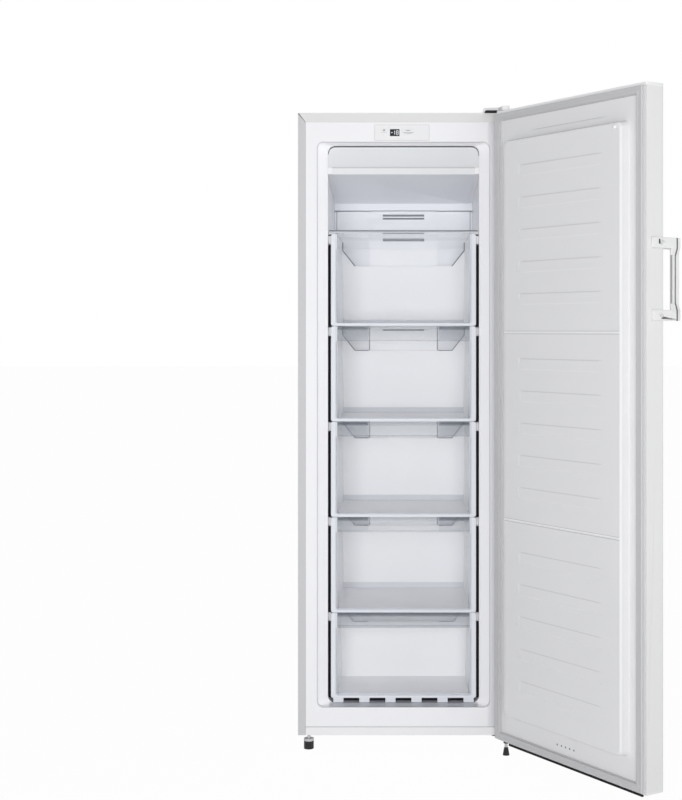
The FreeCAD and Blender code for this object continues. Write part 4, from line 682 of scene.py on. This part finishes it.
def lit_inner_side_of_cap(tree):
    """1 on the inner side of the upper cap, painted lighter there as a highlight."""
    axes = add_door_axes(tree)
    upper = past(tree, axes["Z"], DOOR_MIDDLE, 50 * MM)
    return both(tree, past(tree, axes["Y"], DOOR_IN - 2.5 * MM, 0.5 * MM), upper)


# painted shade in the groove round the handle
def handle_groove_shade(tree):
    return between(tree, add_door_axes(tree)["Y"], SEAM_OUT, SEAM_IN, 0.3 * MM)


PANE_MASK = make_pane_mask()
SIDE_STEEL = make_finish("side steel paint", (0.80, 0.80, 0.80), 0.34, 700.0, 0.12)
TOP_STEEL = make_finish("top panel paint", (0.76, 0.76, 0.755), 0.32, 700.0, 0.12)
# painted shade: the side panels' front edges are painted darker than the rest of their paint
tint_where(SIDE_STEEL, front_flange_shade, (0.60, 0.60, 0.605))
DOOR_STEEL = make_finish("door paint", (0.77, 0.77, 0.77), 0.34, 700.0, 0.12)
LINER = make_finish("cold room wall", (0.90, 0.90, 0.92), 0.36, 1100.0, 0.05)
DOOR_LINER = make_finish("door inner wall", (0.85, 0.85, 0.86), 0.34, 1100.0, 0.05)
MOULDED_WHITE = make_finish("moulded white", (0.88, 0.88, 0.89), 0.32, 1200.0, 0.08)
PANEL_WHITE = make_finish("control panel white", (0.86, 0.86, 0.865), 0.3, 1200.0, 0.06)
DUCT_WHITE = make_finish("duct white", (0.87, 0.88, 0.92), 0.4, 1200.0, 0.1)
# painted shade on the duct's front: fascia painted darker, its lip a little less dark, and a dark painted
# shade line over the lip
tint_where(DUCT_WHITE, front_of_duct, (0.73, 0.735, 0.75))
tint_where(DUCT_WHITE, lip_of_duct, (0.80, 0.805, 0.82))
tint_where(DUCT_WHITE, shade_line_over_lip, (0.52, 0.525, 0.54))
COVER_WHITE = make_finish("back wall white", (0.87, 0.88, 0.91), 0.4, 1200.0, 0.1)
# painted light: the back wall is painted lighter below the shelf, behind the drawers
tint_where(COVER_WHITE, behind_drawers, (0.92, 0.93, 0.95))
tint_where(COVER_WHITE, beside_column, (0.86, 0.87, 0.90))
# painted highlight on the column's edges, painted shade in the creases beside it and at the wall's ends
tint_where(COVER_WHITE, column_corner_highlight, (0.98, 0.98, 1.0))
tint_where(COVER_WHITE, column_crease_shade, (0.38, 0.40, 0.44))
tint_where(COVER_WHITE, wall_crease_shade, (0.40, 0.42, 0.46))
tint_where(LINER, mouth_floor, (0.55, 0.56, 0.60))
tint_where(LINER, hinge_side, (0.75, 0.75, 0.78))
# painted shade along the plug's edges and in the crease over it
tint_where(DOOR_LINER, plug_top_shade, (0.42, 0.42, 0.43))
tint_where(DOOR_LINER, plug_bottom_shade, (0.58, 0.58, 0.59))
tint_where(DOOR_LINER, crease_shade_over_plug, (0.62, 0.62, 0.63))
# painted shade and highlight on the pockets of the plug
tint_where(DOOR_LINER, pocket_end_shade, (0.73, 0.73, 0.74))
tint_where(DOOR_LINER, pocket_top_shade, (0.71, 0.71, 0.72))
tint_where(DOOR_LINER, pocket_bottom_highlight, (0.89, 0.89, 0.90))
tint_where(DOOR_LINER, groove_edge_shade, (0.62, 0.62, 0.63))
tint_where(DOOR_LINER, groove_floor_highlight, (0.98, 0.98, 0.99))
HANDLE_WHITE = make_finish("handle white", (0.80, 0.80, 0.80), 0.33, 1500.0, 0.04)
tint_where(HANDLE_WHITE, handle_groove_shade, (0.10, 0.10, 0.105))
CAP_WHITE = make_finish("door cap white", (0.80, 0.80, 0.805), 0.32, 1200.0, 0.08)
# painted highlight on the inner side of the upper door cap
tint_where(CAP_WHITE, lit_inner_side_of_cap, (0.98, 0.98, 0.985))
FOOT_BLACK = make_finish("foot black", (0.007, 0.007, 0.008), 0.55, 1500.0, 0.2, tone=0.3)
tint_where(FOOT_BLACK, foot_stem, (0.62, 0.62, 0.63))
SEAL_GREY = make_finish("seal grey", (0.60, 0.60, 0.61), 0.55, 1600.0, 0.2, smudge=0.12)
BLACK_PLASTIC = make_finish("black plastic", (0.012, 0.012, 0.013), 0.42, 1500.0, 0.2, tone=0.3)
BLACK_RUBBER = make_finish("black rubber", (0.02, 0.02, 0.02), 0.62, 900.0, 0.35, tone=0.3)
GREY_PLASTIC = make_finish("grey plastic", (0.33, 0.34, 0.36), 0.45, 1300.0, 0.2)
BLACK_PAINT = make_finish("black paint", (0.02, 0.02, 0.022), 0.3, 300.0, 0.3, tone=0.4)
FOAM = make_finish("foam", (0.75, 0.62, 0.33), 0.85, 260.0, 0.9, tone=0.25, tone_scale=30.0)
# painted shade: the foam near the front is painted near black to darken the gaps of the corner joints
tint_where(FOAM, foam_gap_shade, (0.05, 0.05, 0.05))
BOARD_GREEN = make_finish("board green", (0.03, 0.16, 0.07), 0.35, 2500.0, 0.2, tone=0.3)
DISPLAY_BLACK = make_finish("display black", (0.008, 0.008, 0.010), 0.12, 3000.0, 0.01, tone=0.5)
SEAM_SHADE_GREY = make_finish("seam grey", (0.60, 0.60, 0.61), 0.5, 1500.0, 0.05)
SLOT_SHADE_GREY = make_finish("slot grey", (0.36, 0.37, 0.40), 0.5, 1500.0, 0.1)
DOT_SHADE_GREY = make_finish("dimple grey", (0.16, 0.16, 0.17), 0.5, 1500.0, 0.1)
MARK_GREY = make_finish("mark grey", (0.13, 0.13, 0.135), 0.5, 1500.0, 0.02)
# painted shade for dark edges, on the bins and along the duct's fascia
EDGE_SHADE_GREY = make_finish("painted edge shade", (0.20, 0.22, 0.25), 0.3, 1500.0, 0.05)
PAIR_LINE = make_finish("kick seam grey", (0.42, 0.42, 0.43), 0.6, 1500.0, 0.05)
LIT_FIGURE = make_finish("lit figure", (0.86, 0.88, 0.90), 0.4, 1500.0, 0.02)
# flat black for pieces of painted shade in gaps and under the hinge cover, and for the strip under the door
FLAT_BLACK = make_finish("flat black", (0.006, 0.006, 0.008), 0.95, 900.0, 0.5, tone=0.4)
ZINC = make_metal("zinc", (0.62, 0.63, 0.65), 0.32)
ALUMINIUM = make_metal("aluminium", (0.80, 0.81, 0.83), 0.28)
COPPER = make_metal("copper", (0.72, 0.38, 0.24), 0.3)
MILKY = make_clear("milky drawer bin", (0.965, 0.97, 0.985), 0.93, 0.97, 0.3)
# painted shade in the bins' corners
tint_where(MILKY, bin_corner_shade, (0.76, 0.775, 0.81))
hide_where(MILKY, mouth_of_bin)
# how dark a front's top band is painted as shadow, how dark its painted upper shade and lower edge are, and
# how clear its middle is
DRAWER_PANES = {
    f"drawer_front_{number}": make_drawer_pane(number, *look)
    for number, look in enumerate(
        (
            (0.03, 0.00, 0.02, 0.8),
            (0.13, 0.26, 0.11, 0.8),
            (0.14, 0.38, 0.18, 0.7),
            (0.11, 0.38, 0.18, 0.7),
            (0.14, 0.40, 0.38, 0.0),
        ),
        1,
    )
}
GLASS = make_clear("shelf glass", (0.80, 0.84, 0.86), 0.02, 0.14, 0.04, 1.52)
GLASS_EDGE = make_finish("shelf edge", (0.72, 0.75, 0.79), 0.22, 1500.0, 0.05)
tint_where(GLASS_EDGE, upper_edge_of_trim, (0.10, 0.11, 0.13))

FINISHES = {
    SIDE_STEEL: "side_panel_left side_panel_right back_panel",
    TOP_STEEL: "top_panel",
    DOOR_STEEL: "door_skin",
    LINER: "inner_liner drawer_runners",
    DOOR_LINER: "door_liner",
    MOULDED_WHITE: "kick_panel top_hinge_cover",
    CAP_WHITE: "door_top_cap door_bottom_cap",
    FOOT_BLACK: "front_foot_left front_foot_right",
    PANEL_WHITE: "control_bezel button_freeze button_set",
    DUCT_WHITE: "ceiling_duct",
    COVER_WHITE: "evaporator_cover",
    HANDLE_WHITE: "handle_bar handle_mounts",
    SEAL_GREY: "door_gasket",
    BLACK_PLASTIC: "rear_feet fan_blade",
    BLACK_RUBBER: "compressor_mounts cord_inlet",
    GREY_PLASTIC: "fan_frame drip_tray drain_tube door_bushings",
    BLACK_PAINT: "compressor bottom_hinge",
    FOAM: "cabinet_foam door_foam",
    BOARD_GREEN: "control_board",
    DISPLAY_BLACK: "display_window",
    ZINC: "floor_pan base_frame compressor_cover top_hinge hinge_screws handle_screws fan_motor",
    ALUMINIUM: "evaporator_tube evaporator_fins defrost_heater",
    COPPER: "condenser_tube filter_drier",
    MILKY: " ".join(f"drawer_bin_{i}" for i in DRAWERS),
    GLASS: "glass_shelf",
    GLASS_EDGE: "shelf_trim",
}
# nodes whose edges are softened, with the radius in millimetres
SOFT_EDGES = {
    1.2: "control_bezel button_freeze button_set ceiling_duct kick_panel",
    0.8: " ".join(f"drawer_bin_{i} drawer_front_{i}" for i in DRAWERS),
    2.0: "handle_mounts door_top_cap",
}


def dress(piece, material):
    for slot in piece.material_slots:
        slot.material = material


def dress_nodes():
    for material, names in FINISHES.items():
        for name in names.split():
            dress(NODES[name], material)
    for name, material in DRAWER_PANES.items():
        dress(NODES[name], material)
    for radius, names in SOFT_EDGES.items():
        for name in names.split():
            soften(NODES[name], radius * MM)


def soften(piece, radius):
    weld = piece.modifiers.new("join", "WELD")
    weld.merge_threshold = 0.02 * MM
    bevel = piece.modifiers.new("soft edges", "BEVEL")
    bevel.width = radius
    bevel.segments = 2
    bevel.limit_method = "ANGLE"
    bevel.angle_limit = math.radians(40)
    bevel.harden_normals = True


# ---------------------------------------- added pieces
def new_piece(name, points, faces, material, body):
    mesh = bpy.data.meshes.new(name)
    mesh.from_pydata([tuple(point) for point in points], [], faces)
    mesh.validate()
    piece = bpy.data.objects.new(name, mesh)
    bpy.context.scene.collection.objects.link(piece)
    mesh.materials.append(material)
    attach(piece, body)
    return piece


def door_seal():
    """Seal with a bellows foot and a broad magnet lip, swept round the door with mitred corners."""
    # across the seal: distance from the door's edge and height above its inner face, in millimetres
    section = (
        (4.0, 0), (4.0, 2.6), (5.2, 3.9), (7.6, 4.6), (7.6, 6.3), (5.4, 7.3), (5.2, 8.0),
        (5.2, 10.4), (6.0, 11.2), (12.8, 11.2), (13.4, 10.7), (14.6, 10.7), (15.2, 11.2),
        (21.8, 11.2), (22.8, 10.4), (22.8, 8.2), (20.6, 7.2), (20.4, 4.8), (23.2, 3.9),
        (24.0, 2.8), (24.0, 0),
    )
    count, top = len(section), DOOR_TOP - SEAL_DROP
    points, faces = [], []
    for side, level, up in ((-1, DOOR_BOTTOM, 1), (1, DOOR_BOTTOM, 1), (1, top, -1), (-1, top, -1)):
        for inset, height in section:
            point = Vector((side * (HALF - inset * MM), DOOR_IN + height * MM, level + up * inset * MM))
            points.append(OPENING @ point)
    for corner in range(4):
        near, far = corner * count, (corner + 1) % 4 * count
        faces += [(near + i, far + i, far + (i + 1) % count, near + (i + 1) % count) for i in range(count)]
    seal = new_piece("door_seal", points, faces, SEAL_GREY, "door")
    seal.data.shade_smooth()
    soften(seal, 0.35 * MM)
    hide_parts("door_gasket")


TO_FRONT = (0, -1, 0)
SIDES = ((-1, "left"), (1, "right"))


def strip(corners, thick, toward):
    """Flat strip given by its outline, thickened: points and faces of a prism."""
    count = len(corners)
    points = [Vector(corner) for corner in corners]
    points += [point + Vector(toward) * thick for point in points]
    faces = [tuple(range(count)), tuple(range(2 * count - 1, count - 1, -1))]
    faces += [(i, i + count, (i + 1) % count + count, (i + 1) % count) for i in range(count)]
    return points, faces


def append_shape(points, faces, shape):
    """Adds a shape to the points and faces of a piece."""
    more_points, more_faces = shape
    faces.extend([tuple(i + len(points) for i in face) for face in more_faces])
    points.extend(more_points)


def display_digits():
    """Lit "-18" on the display window, in plain seven-segment figures."""
    low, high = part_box("display_window")
    face, centre, middle = low[1], (low[0] + high[0]) / 2, (low[2] + high[2]) / 2
    wide, tall, bar = 5.2 * MM, 11.0 * MM, 1.7 * MM
    # where each segment's middle is, and whether it lies flat
    places = {
        "top": (0, tall / 2, True), "middle": (0, 0, True), "bottom": (0, -tall / 2, True),
        "left_up": (-wide / 2, tall / 4, False), "left_down": (-wide / 2, -tall / 4, False),
        "right_up": (wide / 2, tall / 4, False), "right_down": (wide / 2, -tall / 4, False),
    }
    # how far each figure stands from the window's middle, in millimetres, and its segments
    figures = {
        "minus": (-7.8, "middle"),
        "one": (-3.0, "right_up right_down"),
        "eight": (6.8, " ".join(places)),
    }
    for figure, (offset, segments) in figures.items():
        points, faces = [], []
        for segment in segments.split():
            x, z, flat = places[segment]
            end = (wide if flat else tall / 2) / 2 - 0.25 * MM
            half = [(-end, 0), (-end + bar / 2, bar / 2), (end - bar / 2, bar / 2)]
            outline = half + [(-u, -v) for u, v in half]
            if not flat:
                outline = [(v, u) for u, v in outline]
            at_x, at_z = centre + offset * MM + x, middle + z
            corners = [(at_x + u, face, at_z + v) for u, v in outline]
            append_shape(points, faces, strip(corners, 0.15 * MM, TO_FRONT))
        new_piece(f"display_{figure}", points, faces, LIT_FIGURE, "cabinet")


def button_marks():
    """Two curved lines on the wide button, and a small star on the other."""
    low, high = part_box("button_set")
    face, middle, level = low[1], (low[0] + high[0]) / 2, low[2] + 3.6 * MM
    reach, sag, thick, steps = 14.0 * MM, 2.0 * MM, 1.5 * MM, 16
    for name, share, raise_by in (("long", 1.0, 0.0), ("short", 0.5, 6.2 * MM)):
        upper, lower = [], []
        for i in range(steps + 1):
            t = i / steps * 2 - 1
            x, z = middle + reach * share * t, level + raise_by + sag * share * t * t
            taper = thick * (1 - 0.75 * t * t) / 2
            upper.append((x, face, z + taper))
            lower.append((x, face, z - taper))
        points, faces = strip(upper + lower[::-1], 0.1 * MM, TO_FRONT)
        new_piece(f"set_mark_{name}", points, faces, MARK_GREY, "set_button")
    low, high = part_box("button_freeze")
    centre = Vector(((low[0] + high[0]) / 2, low[1], (low[2] + high[2]) / 2 + 1.2 * MM))
    points, faces = [], []
    for i in range(3):
        turn = i * math.pi / 3
        way = Vector((math.cos(turn), 0, math.sin(turn)))
        across, arm = Vector((-way.z, 0, way.x)) * 0.6 * MM, way * 4.2 * MM
        tip = across * 0.4
        half = [tip - arm, across, arm + tip]
        corners = [centre + offset for offset in half + [-offset for offset in half]]
        append_shape(points, faces, strip(corners, (0.1 + 0.02 * i) * MM, TO_FRONT))
    new_piece("freeze_mark", points, faces, MARK_GREY, "freeze_button")


def rounded_outline(x0, x1, z0, z1, radius, y):
    outline, steps = [], 5
    for x, z, turn in ((x1, z1, 0), (x0, z1, 1), (x0, z0, 2), (x1, z0, 3)):
        cx = x - radius if x == x1 else x + radius
        cz = z - radius if z == z1 else z + radius
        for i in range(steps + 1):
            angle = (turn + i / steps) * math.pi / 2
            outline.append((cx + radius * math.cos(angle), y, cz + radius * math.sin(angle)))
    return outline


def ring(name, box, radius, y, width, material, body):
    """Thin flat frame round a rectangle, lying on the face behind it."""
    x0, x1, z0, z1 = box
    inner = rounded_outline(x0, x1, z0, z1, radius, y)
    outer = rounded_outline(x0 - width, x1 + width, z0 - width, z1 + width, radius + width, y)
    count = len(inner)
    points = inner + outer + [(x, y + 0.3 * MM, z) for x, _, z in inner + outer]
    faces = []
    for i in range(count):
        j = (i + 1) % count
        a, b, c, d = i, j, count + j, count + i
        faces += [(a, b, c, d), (d + 2 * count, c + 2 * count, b + 2 * count, a + 2 * count)]
        faces += [(a, a + 2 * count, b + 2 * count, b), (c, c + 2 * count, d + 2 * count, d)]
    return new_piece(name, points, faces, material, body)


# painted shade: grey line in the gap round the control panel
def panel_seam():
    low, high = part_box("control_bezel")
    box = (low[0], high[0], low[2], high[2])
    ring("panel_seam", box, 1.5 * MM, FRONT - 0.35 * MM, 1.1 * MM, SEAM_SHADE_GREY, "cabinet")


def slot_liners():
    """Grey troughs behind the slots, narrower at their floors; their grey is painted shade inside the slots.
    """
    half, y, depth = SLOT_HALF + 1.5 * MM, COLUMN_FACE + 2.1 * MM, 5.5 * MM
    for number, (level, height) in enumerate(SLOTS, 1):
        tall = height / 2 + 1.2 * MM
        mouth = [(x, y, level + z) for x, z in ((-half, -tall), (half, -tall), (half, tall), (-half, tall))]
        floor = [(x * 0.97, y + depth, level + (z - level) * 0.55) for x, _, z in mouth]
        faces = [(4, 5, 6, 7)] + [(i, (i + 1) % 4, (i + 1) % 4 + 4, i + 4) for i in range(4)]
        new_piece(f"slot_trough_{number}", mouth + floor, faces, SLOT_SHADE_GREY, "cabinet")


def gap_shade_strips():
    """Black strips of painted shade on the side walls, in the gaps beside the drawers and under the lowest
    one.
    """
    # across a strip: distance from the side wall and depth behind the drawers' front plane, in millimetres
    section = ((7.4, 6), (2.6, 6), (0.2, 13), (0.2, 19), (7.4, 19))
    for i in DRAWERS:
        low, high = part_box(f"drawer_bin_{i}")
        top = high[2] - (26 if i > 1 else 30) * MM
        for side, label in SIDES:
            corners = [
                (side * (ROOM_HALF - aside * MM), DRAWER_FRONT + deep * MM, low[2] - 0.4 * MM)
                for aside, deep in section
            ]
            points, faces = strip(corners, top - low[2], (0, 0, 1))
            new_piece(f"gap_strip_{i}_{label}", points, faces, FLAT_BLACK, "cabinet")
    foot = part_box("drawer_front_5")[0][2]
    half, y, floor, top = ROOM_HALF - 12 * MM, DRAWER_FRONT + 23.5 * MM, foot + 0.3 * MM, foot + 12 * MM
    corners = [(-half, y, floor), (half, y, floor), (half, y, top), (-half, y, top)]
    points, faces = strip(corners, 6 * MM, (0, 1, 0))
    new_piece("floor_strip", points, faces, FLAT_BLACK, "drawer_5")


def bin_edges():
    """The cut edges of each bin's back wall, with dark ribbons as painted shade for how they look in clear
    plastic.
    """
    for i in DRAWERS:
        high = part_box(f"drawer_bin_{i}")[1]
        top = high[2]
        width = (2.8 if i == 1 else 2.2) * MM
        line = [(NOTCH_SIDE, top - 1 * MM), (NOTCH_SIDE, top - NOTCH_SLOPE), (NOTCH_INNER, top - NOTCH_DEPTH)]
        if i > 1:
            line.append((COLUMN + 6 * MM, top - NOTCH_DEPTH))
        for side, label in SIDES:
            mirrored = [(side * x, z) for x, z in line]
            points, faces = ribbon(mirrored, high[1] - 3.3 * MM, width, 0.5 * MM)
            new_piece(f"bin_edge_{i}_{label}", points, faces, EDGE_SHADE_GREY, f"drawer_{i}")


def ribbon(line, y, width, thick):
    """Flat ribbon along a line of x and z, upright, from y backwards."""
    points, faces = [], []
    last = len(line) - 1
    for k, (x, z) in enumerate(line):
        way = (Vector(line[min(k + 1, last)]) - Vector(line[max(k - 1, 0)])).normalized()
        aside = Vector((-way.y, way.x)) * width / 2
        for dx, dy in ((-1, 0), (1, 0), (1, 1), (-1, 1)):
            points.append((x + aside.x * dx, y + dy * thick, z + aside.y * dx))
    for k in range(last):
        faces += [(4 * k + j, 4 * k + (j + 1) % 4, 4 * k + 4 + (j + 1) % 4, 4 * k + 4 + j) for j in range(4)]
    faces += [(3, 2, 1, 0), tuple(4 * last + j for j in range(4))]
    return points, faces


def duct_shade_line():
    """Dark ribbon of painted shade along the upper edge of the duct's fascia and round its corners."""
    half, radius, inset, steps = ROOM_HALF - 0.3 * MM, 19.7 * MM, 0.7 * MM, 6
    left_end, right_end = DUCT_TOP - 14 * MM, DUCT_TOP - 24 * MM
    reach = radius - inset
    line = [(-half + inset, left_end)]
    for side, first in ((-1, 180), (1, 90)):
        for step in range(steps + 1):
            angle = math.radians(first - 90 * step / steps)
            x = side * (half - radius) + reach * math.cos(angle)
            line.append((x, DUCT_TOP - radius + reach * math.sin(angle)))
    line.append((half - inset, right_end))
    points, faces = ribbon(line, DRAWER_FRONT - 0.2 * MM, 2.0 * MM, 1.7 * MM)
    new_piece("duct_shade_line", points, faces, EDGE_SHADE_GREY, "cabinet")


def mouth_line():
    """Fine step round the mouth of the cold room, grey as painted shade at the step."""
    box = (-MOUTH_HALF, MOUTH_HALF, MOUTH_LOW, MOUTH_HIGH)
    ring("mouth_line", box, MOUTH_CORNER, FRONT - 0.2 * MM, 1.5 * MM, SEAM_SHADE_GREY, "cabinet")


def back_screws():
    """Pan-head screws along the edges of the back panel."""
    low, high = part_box("back_panel")
    fifth = (high[2] - low[2]) / 5
    at_sides = [low[2] + fifth * k for k in (0.15, 1.5, 2.9, 4.85)]
    places = [(side * (HALF - 15 * MM), z) for side, _ in SIDES for z in at_sides]
    places += [(side * 90 * MM, high[2] - 12 * MM) for side, _ in SIDES]
    out = Vector((0, 1, 0))
    for number, (x, z) in enumerate(places, 1):
        at = Vector((x, high[1], z))
        dome(f"back_screw_{number}", at, out, 4.2 * MM, 1.6 * MM, ZINC, "cabinet", slotted=True)


def dome(name, at, out, radius, height, material, body, slotted=False):
    """Low rounded head that stands on a face; a slotted one is sunk in its middle."""
    side = out.orthogonal().normalized()
    up = out.cross(side)
    around, rise = 20, 4
    points, faces = [], []
    for level in range(rise + 1):
        angle = level / (rise + 1) * math.pi / 2
        for i in range(around):
            turn = 2 * math.pi * i / around
            spot = (side * math.cos(turn) + up * math.sin(turn)) * radius * math.cos(angle)
            points.append(at + spot + out * height * math.sin(angle))
    for level in range(rise):
        for i in range(around):
            a, b = level * around + i, level * around + (i + 1) % around
            faces.append((a, b, b + around, a + around))
    crown, last = len(points), rise * around
    points.append(at + out * height * (0.45 if slotted else 1.0))
    faces += [(last + i, last + (i + 1) % around, crown) for i in range(around)]
    faces.append(tuple(range(around - 1, -1, -1)))
    piece = new_piece(name, points, faces, material, body)
    piece.data.shade_smooth()


def door_dots():
    """Five small vent dimples near the bottom of the door's inner wall, dark grey as painted shade in the
    vents, and a stud in the plug's corner.
    """
    inward = OPENING.to_3x3() @ Vector((0, 1, 0))
    for number in range(5):
        at = OPENING @ Vector((DOTS_FIRST - number * DOTS_PITCH, DOOR_IN, DOTS_LEVEL))
        dome(f"door_dot_{number + 1}", at, inward, 2.4 * MM, 0.5 * MM, DOT_SHADE_GREY, "door")
    at = OPENING @ Vector((-PLUG_HALF + 22.5 * MM, PLUG_FACE, PLUG_TOP - 14.5 * MM))
    dome("plug_stud", at, inward, 6.0 * MM, 5.5 * MM, MOULDED_WHITE, "door")


def hinge_nose_shade():
    """Black plate of painted shade under the nose of the hinge cover."""
    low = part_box("top_hinge_cover")[0]
    x0, x1, y0, y1 = low[0] + 2.5 * MM, low[0] + 34 * MM, low[1] + 1.5 * MM, FRONT - 0.5 * MM
    chamfer = 3 * MM
    outline = ((x0, y0 + chamfer), (x0 + chamfer, y0), (x1, y0), (x1, y1), (x0, y1))
    points, faces = strip([(x, y, low[2]) for x, y in outline], 0.6 * MM, (0, 0, -1))
    new_piece("hinge_nose_shade", points, faces, FLAT_BLACK, "cabinet")


def duct_fillets():
    """Pale strips that close the gaps beside the duct, a little above its underside."""
    front, back, thick = DRAWER_FRONT, COLUMN_FACE - 1.5 * MM, 3 * MM
    outline = (
        (front, DUCT_LOW + 1.5 * MM),
        (back, DUCT_REAR + 1.5 * MM),
        (back, DUCT_REAR + 5 * MM),
        (front + thick, DUCT_LOW + 5 * MM),
        (front + thick, DUCT_EDGE + 0.3 * MM),
        (front, DUCT_EDGE + 0.3 * MM),
    )
    for side, label in SIDES:
        corners = [(side * (ROOM_HALF - 10.8 * MM), y, z) for y, z in outline]
        points, faces = strip(corners, 10.5 * MM, (side, 0, 0))
        new_piece(f"duct_fillet_{label}", points, faces, MOULDED_WHITE, "cabinet")


def kick_seam():
    """Shadow line along the top of the kick panel."""
    low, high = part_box("kick_panel")
    x0, x1, z0, z1 = low[0], high[0], high[2] - 0.4 * MM, high[2] + 1.2 * MM
    corners = [(x0, FRONT, z0), (x1, FRONT, z0), (x1, FRONT, z1), (x0, FRONT, z1)]
    points, faces = strip(corners, 0.3 * MM, TO_FRONT)
    new_piece("kick_seam", points, faces, PAIR_LINE, "cabinet")


def black_strip_under_door():
    """Thin black strip under the door, along the edge of its inner face."""
    x0, x1, y0, y1 = -HALF + 15 * MM, HALF - 49 * MM, DOOR_IN - 6 * MM, DOOR_IN - 0.5 * MM
    outline = ((x0, y0), (x1, y0), (x1, y1), (x0, y1))
    corners = [OPENING @ Vector((x, y, DOOR_BOTTOM)) for x, y in outline]
    points, faces = strip(corners, 6.5 * MM, (0, 0, -1))
    new_piece("black_strip_under_door", points, faces, FLAT_BLACK, "door")


def mount_slot():
    """Narrow black plate over the screw of the upper handle mount: painted shade for the slot there."""
    x, y, z = -HALF - 6 * MM, -0.2972, 1.3083
    wide, tall = 2.2 * MM, 5.5 * MM
    outline = ((-wide, -tall), (wide, -tall), (wide, tall), (-wide, tall))
    corners = [OPENING @ Vector((x, y + across, z + up)) for across, up in outline]
    points, faces = strip(corners, 0.3 * MM, OPENING.to_3x3() @ Vector((-1, 0, 0)))
    new_piece("mount_slot", points, faces, BLACK_PLASTIC, "door")


set_up_camera()
set_up_world()
set_up_lamps()
lay_floor()
dress_nodes()
door_seal()
display_digits()
button_marks()
panel_seam()
slot_liners()
gap_shade_strips()
bin_edges()
duct_shade_line()
mouth_line()
back_screws()
door_dots()
hinge_nose_shade()
duct_fillets()
kick_seam()
black_strip_under_door()
mount_slot()

bpy.context.scene.view_settings.view_transform = "Standard"
bpy.context.scene.cycles.transparent_max_bounces = 48
bpy.context.scene.cycles.diffuse_bounces = 8
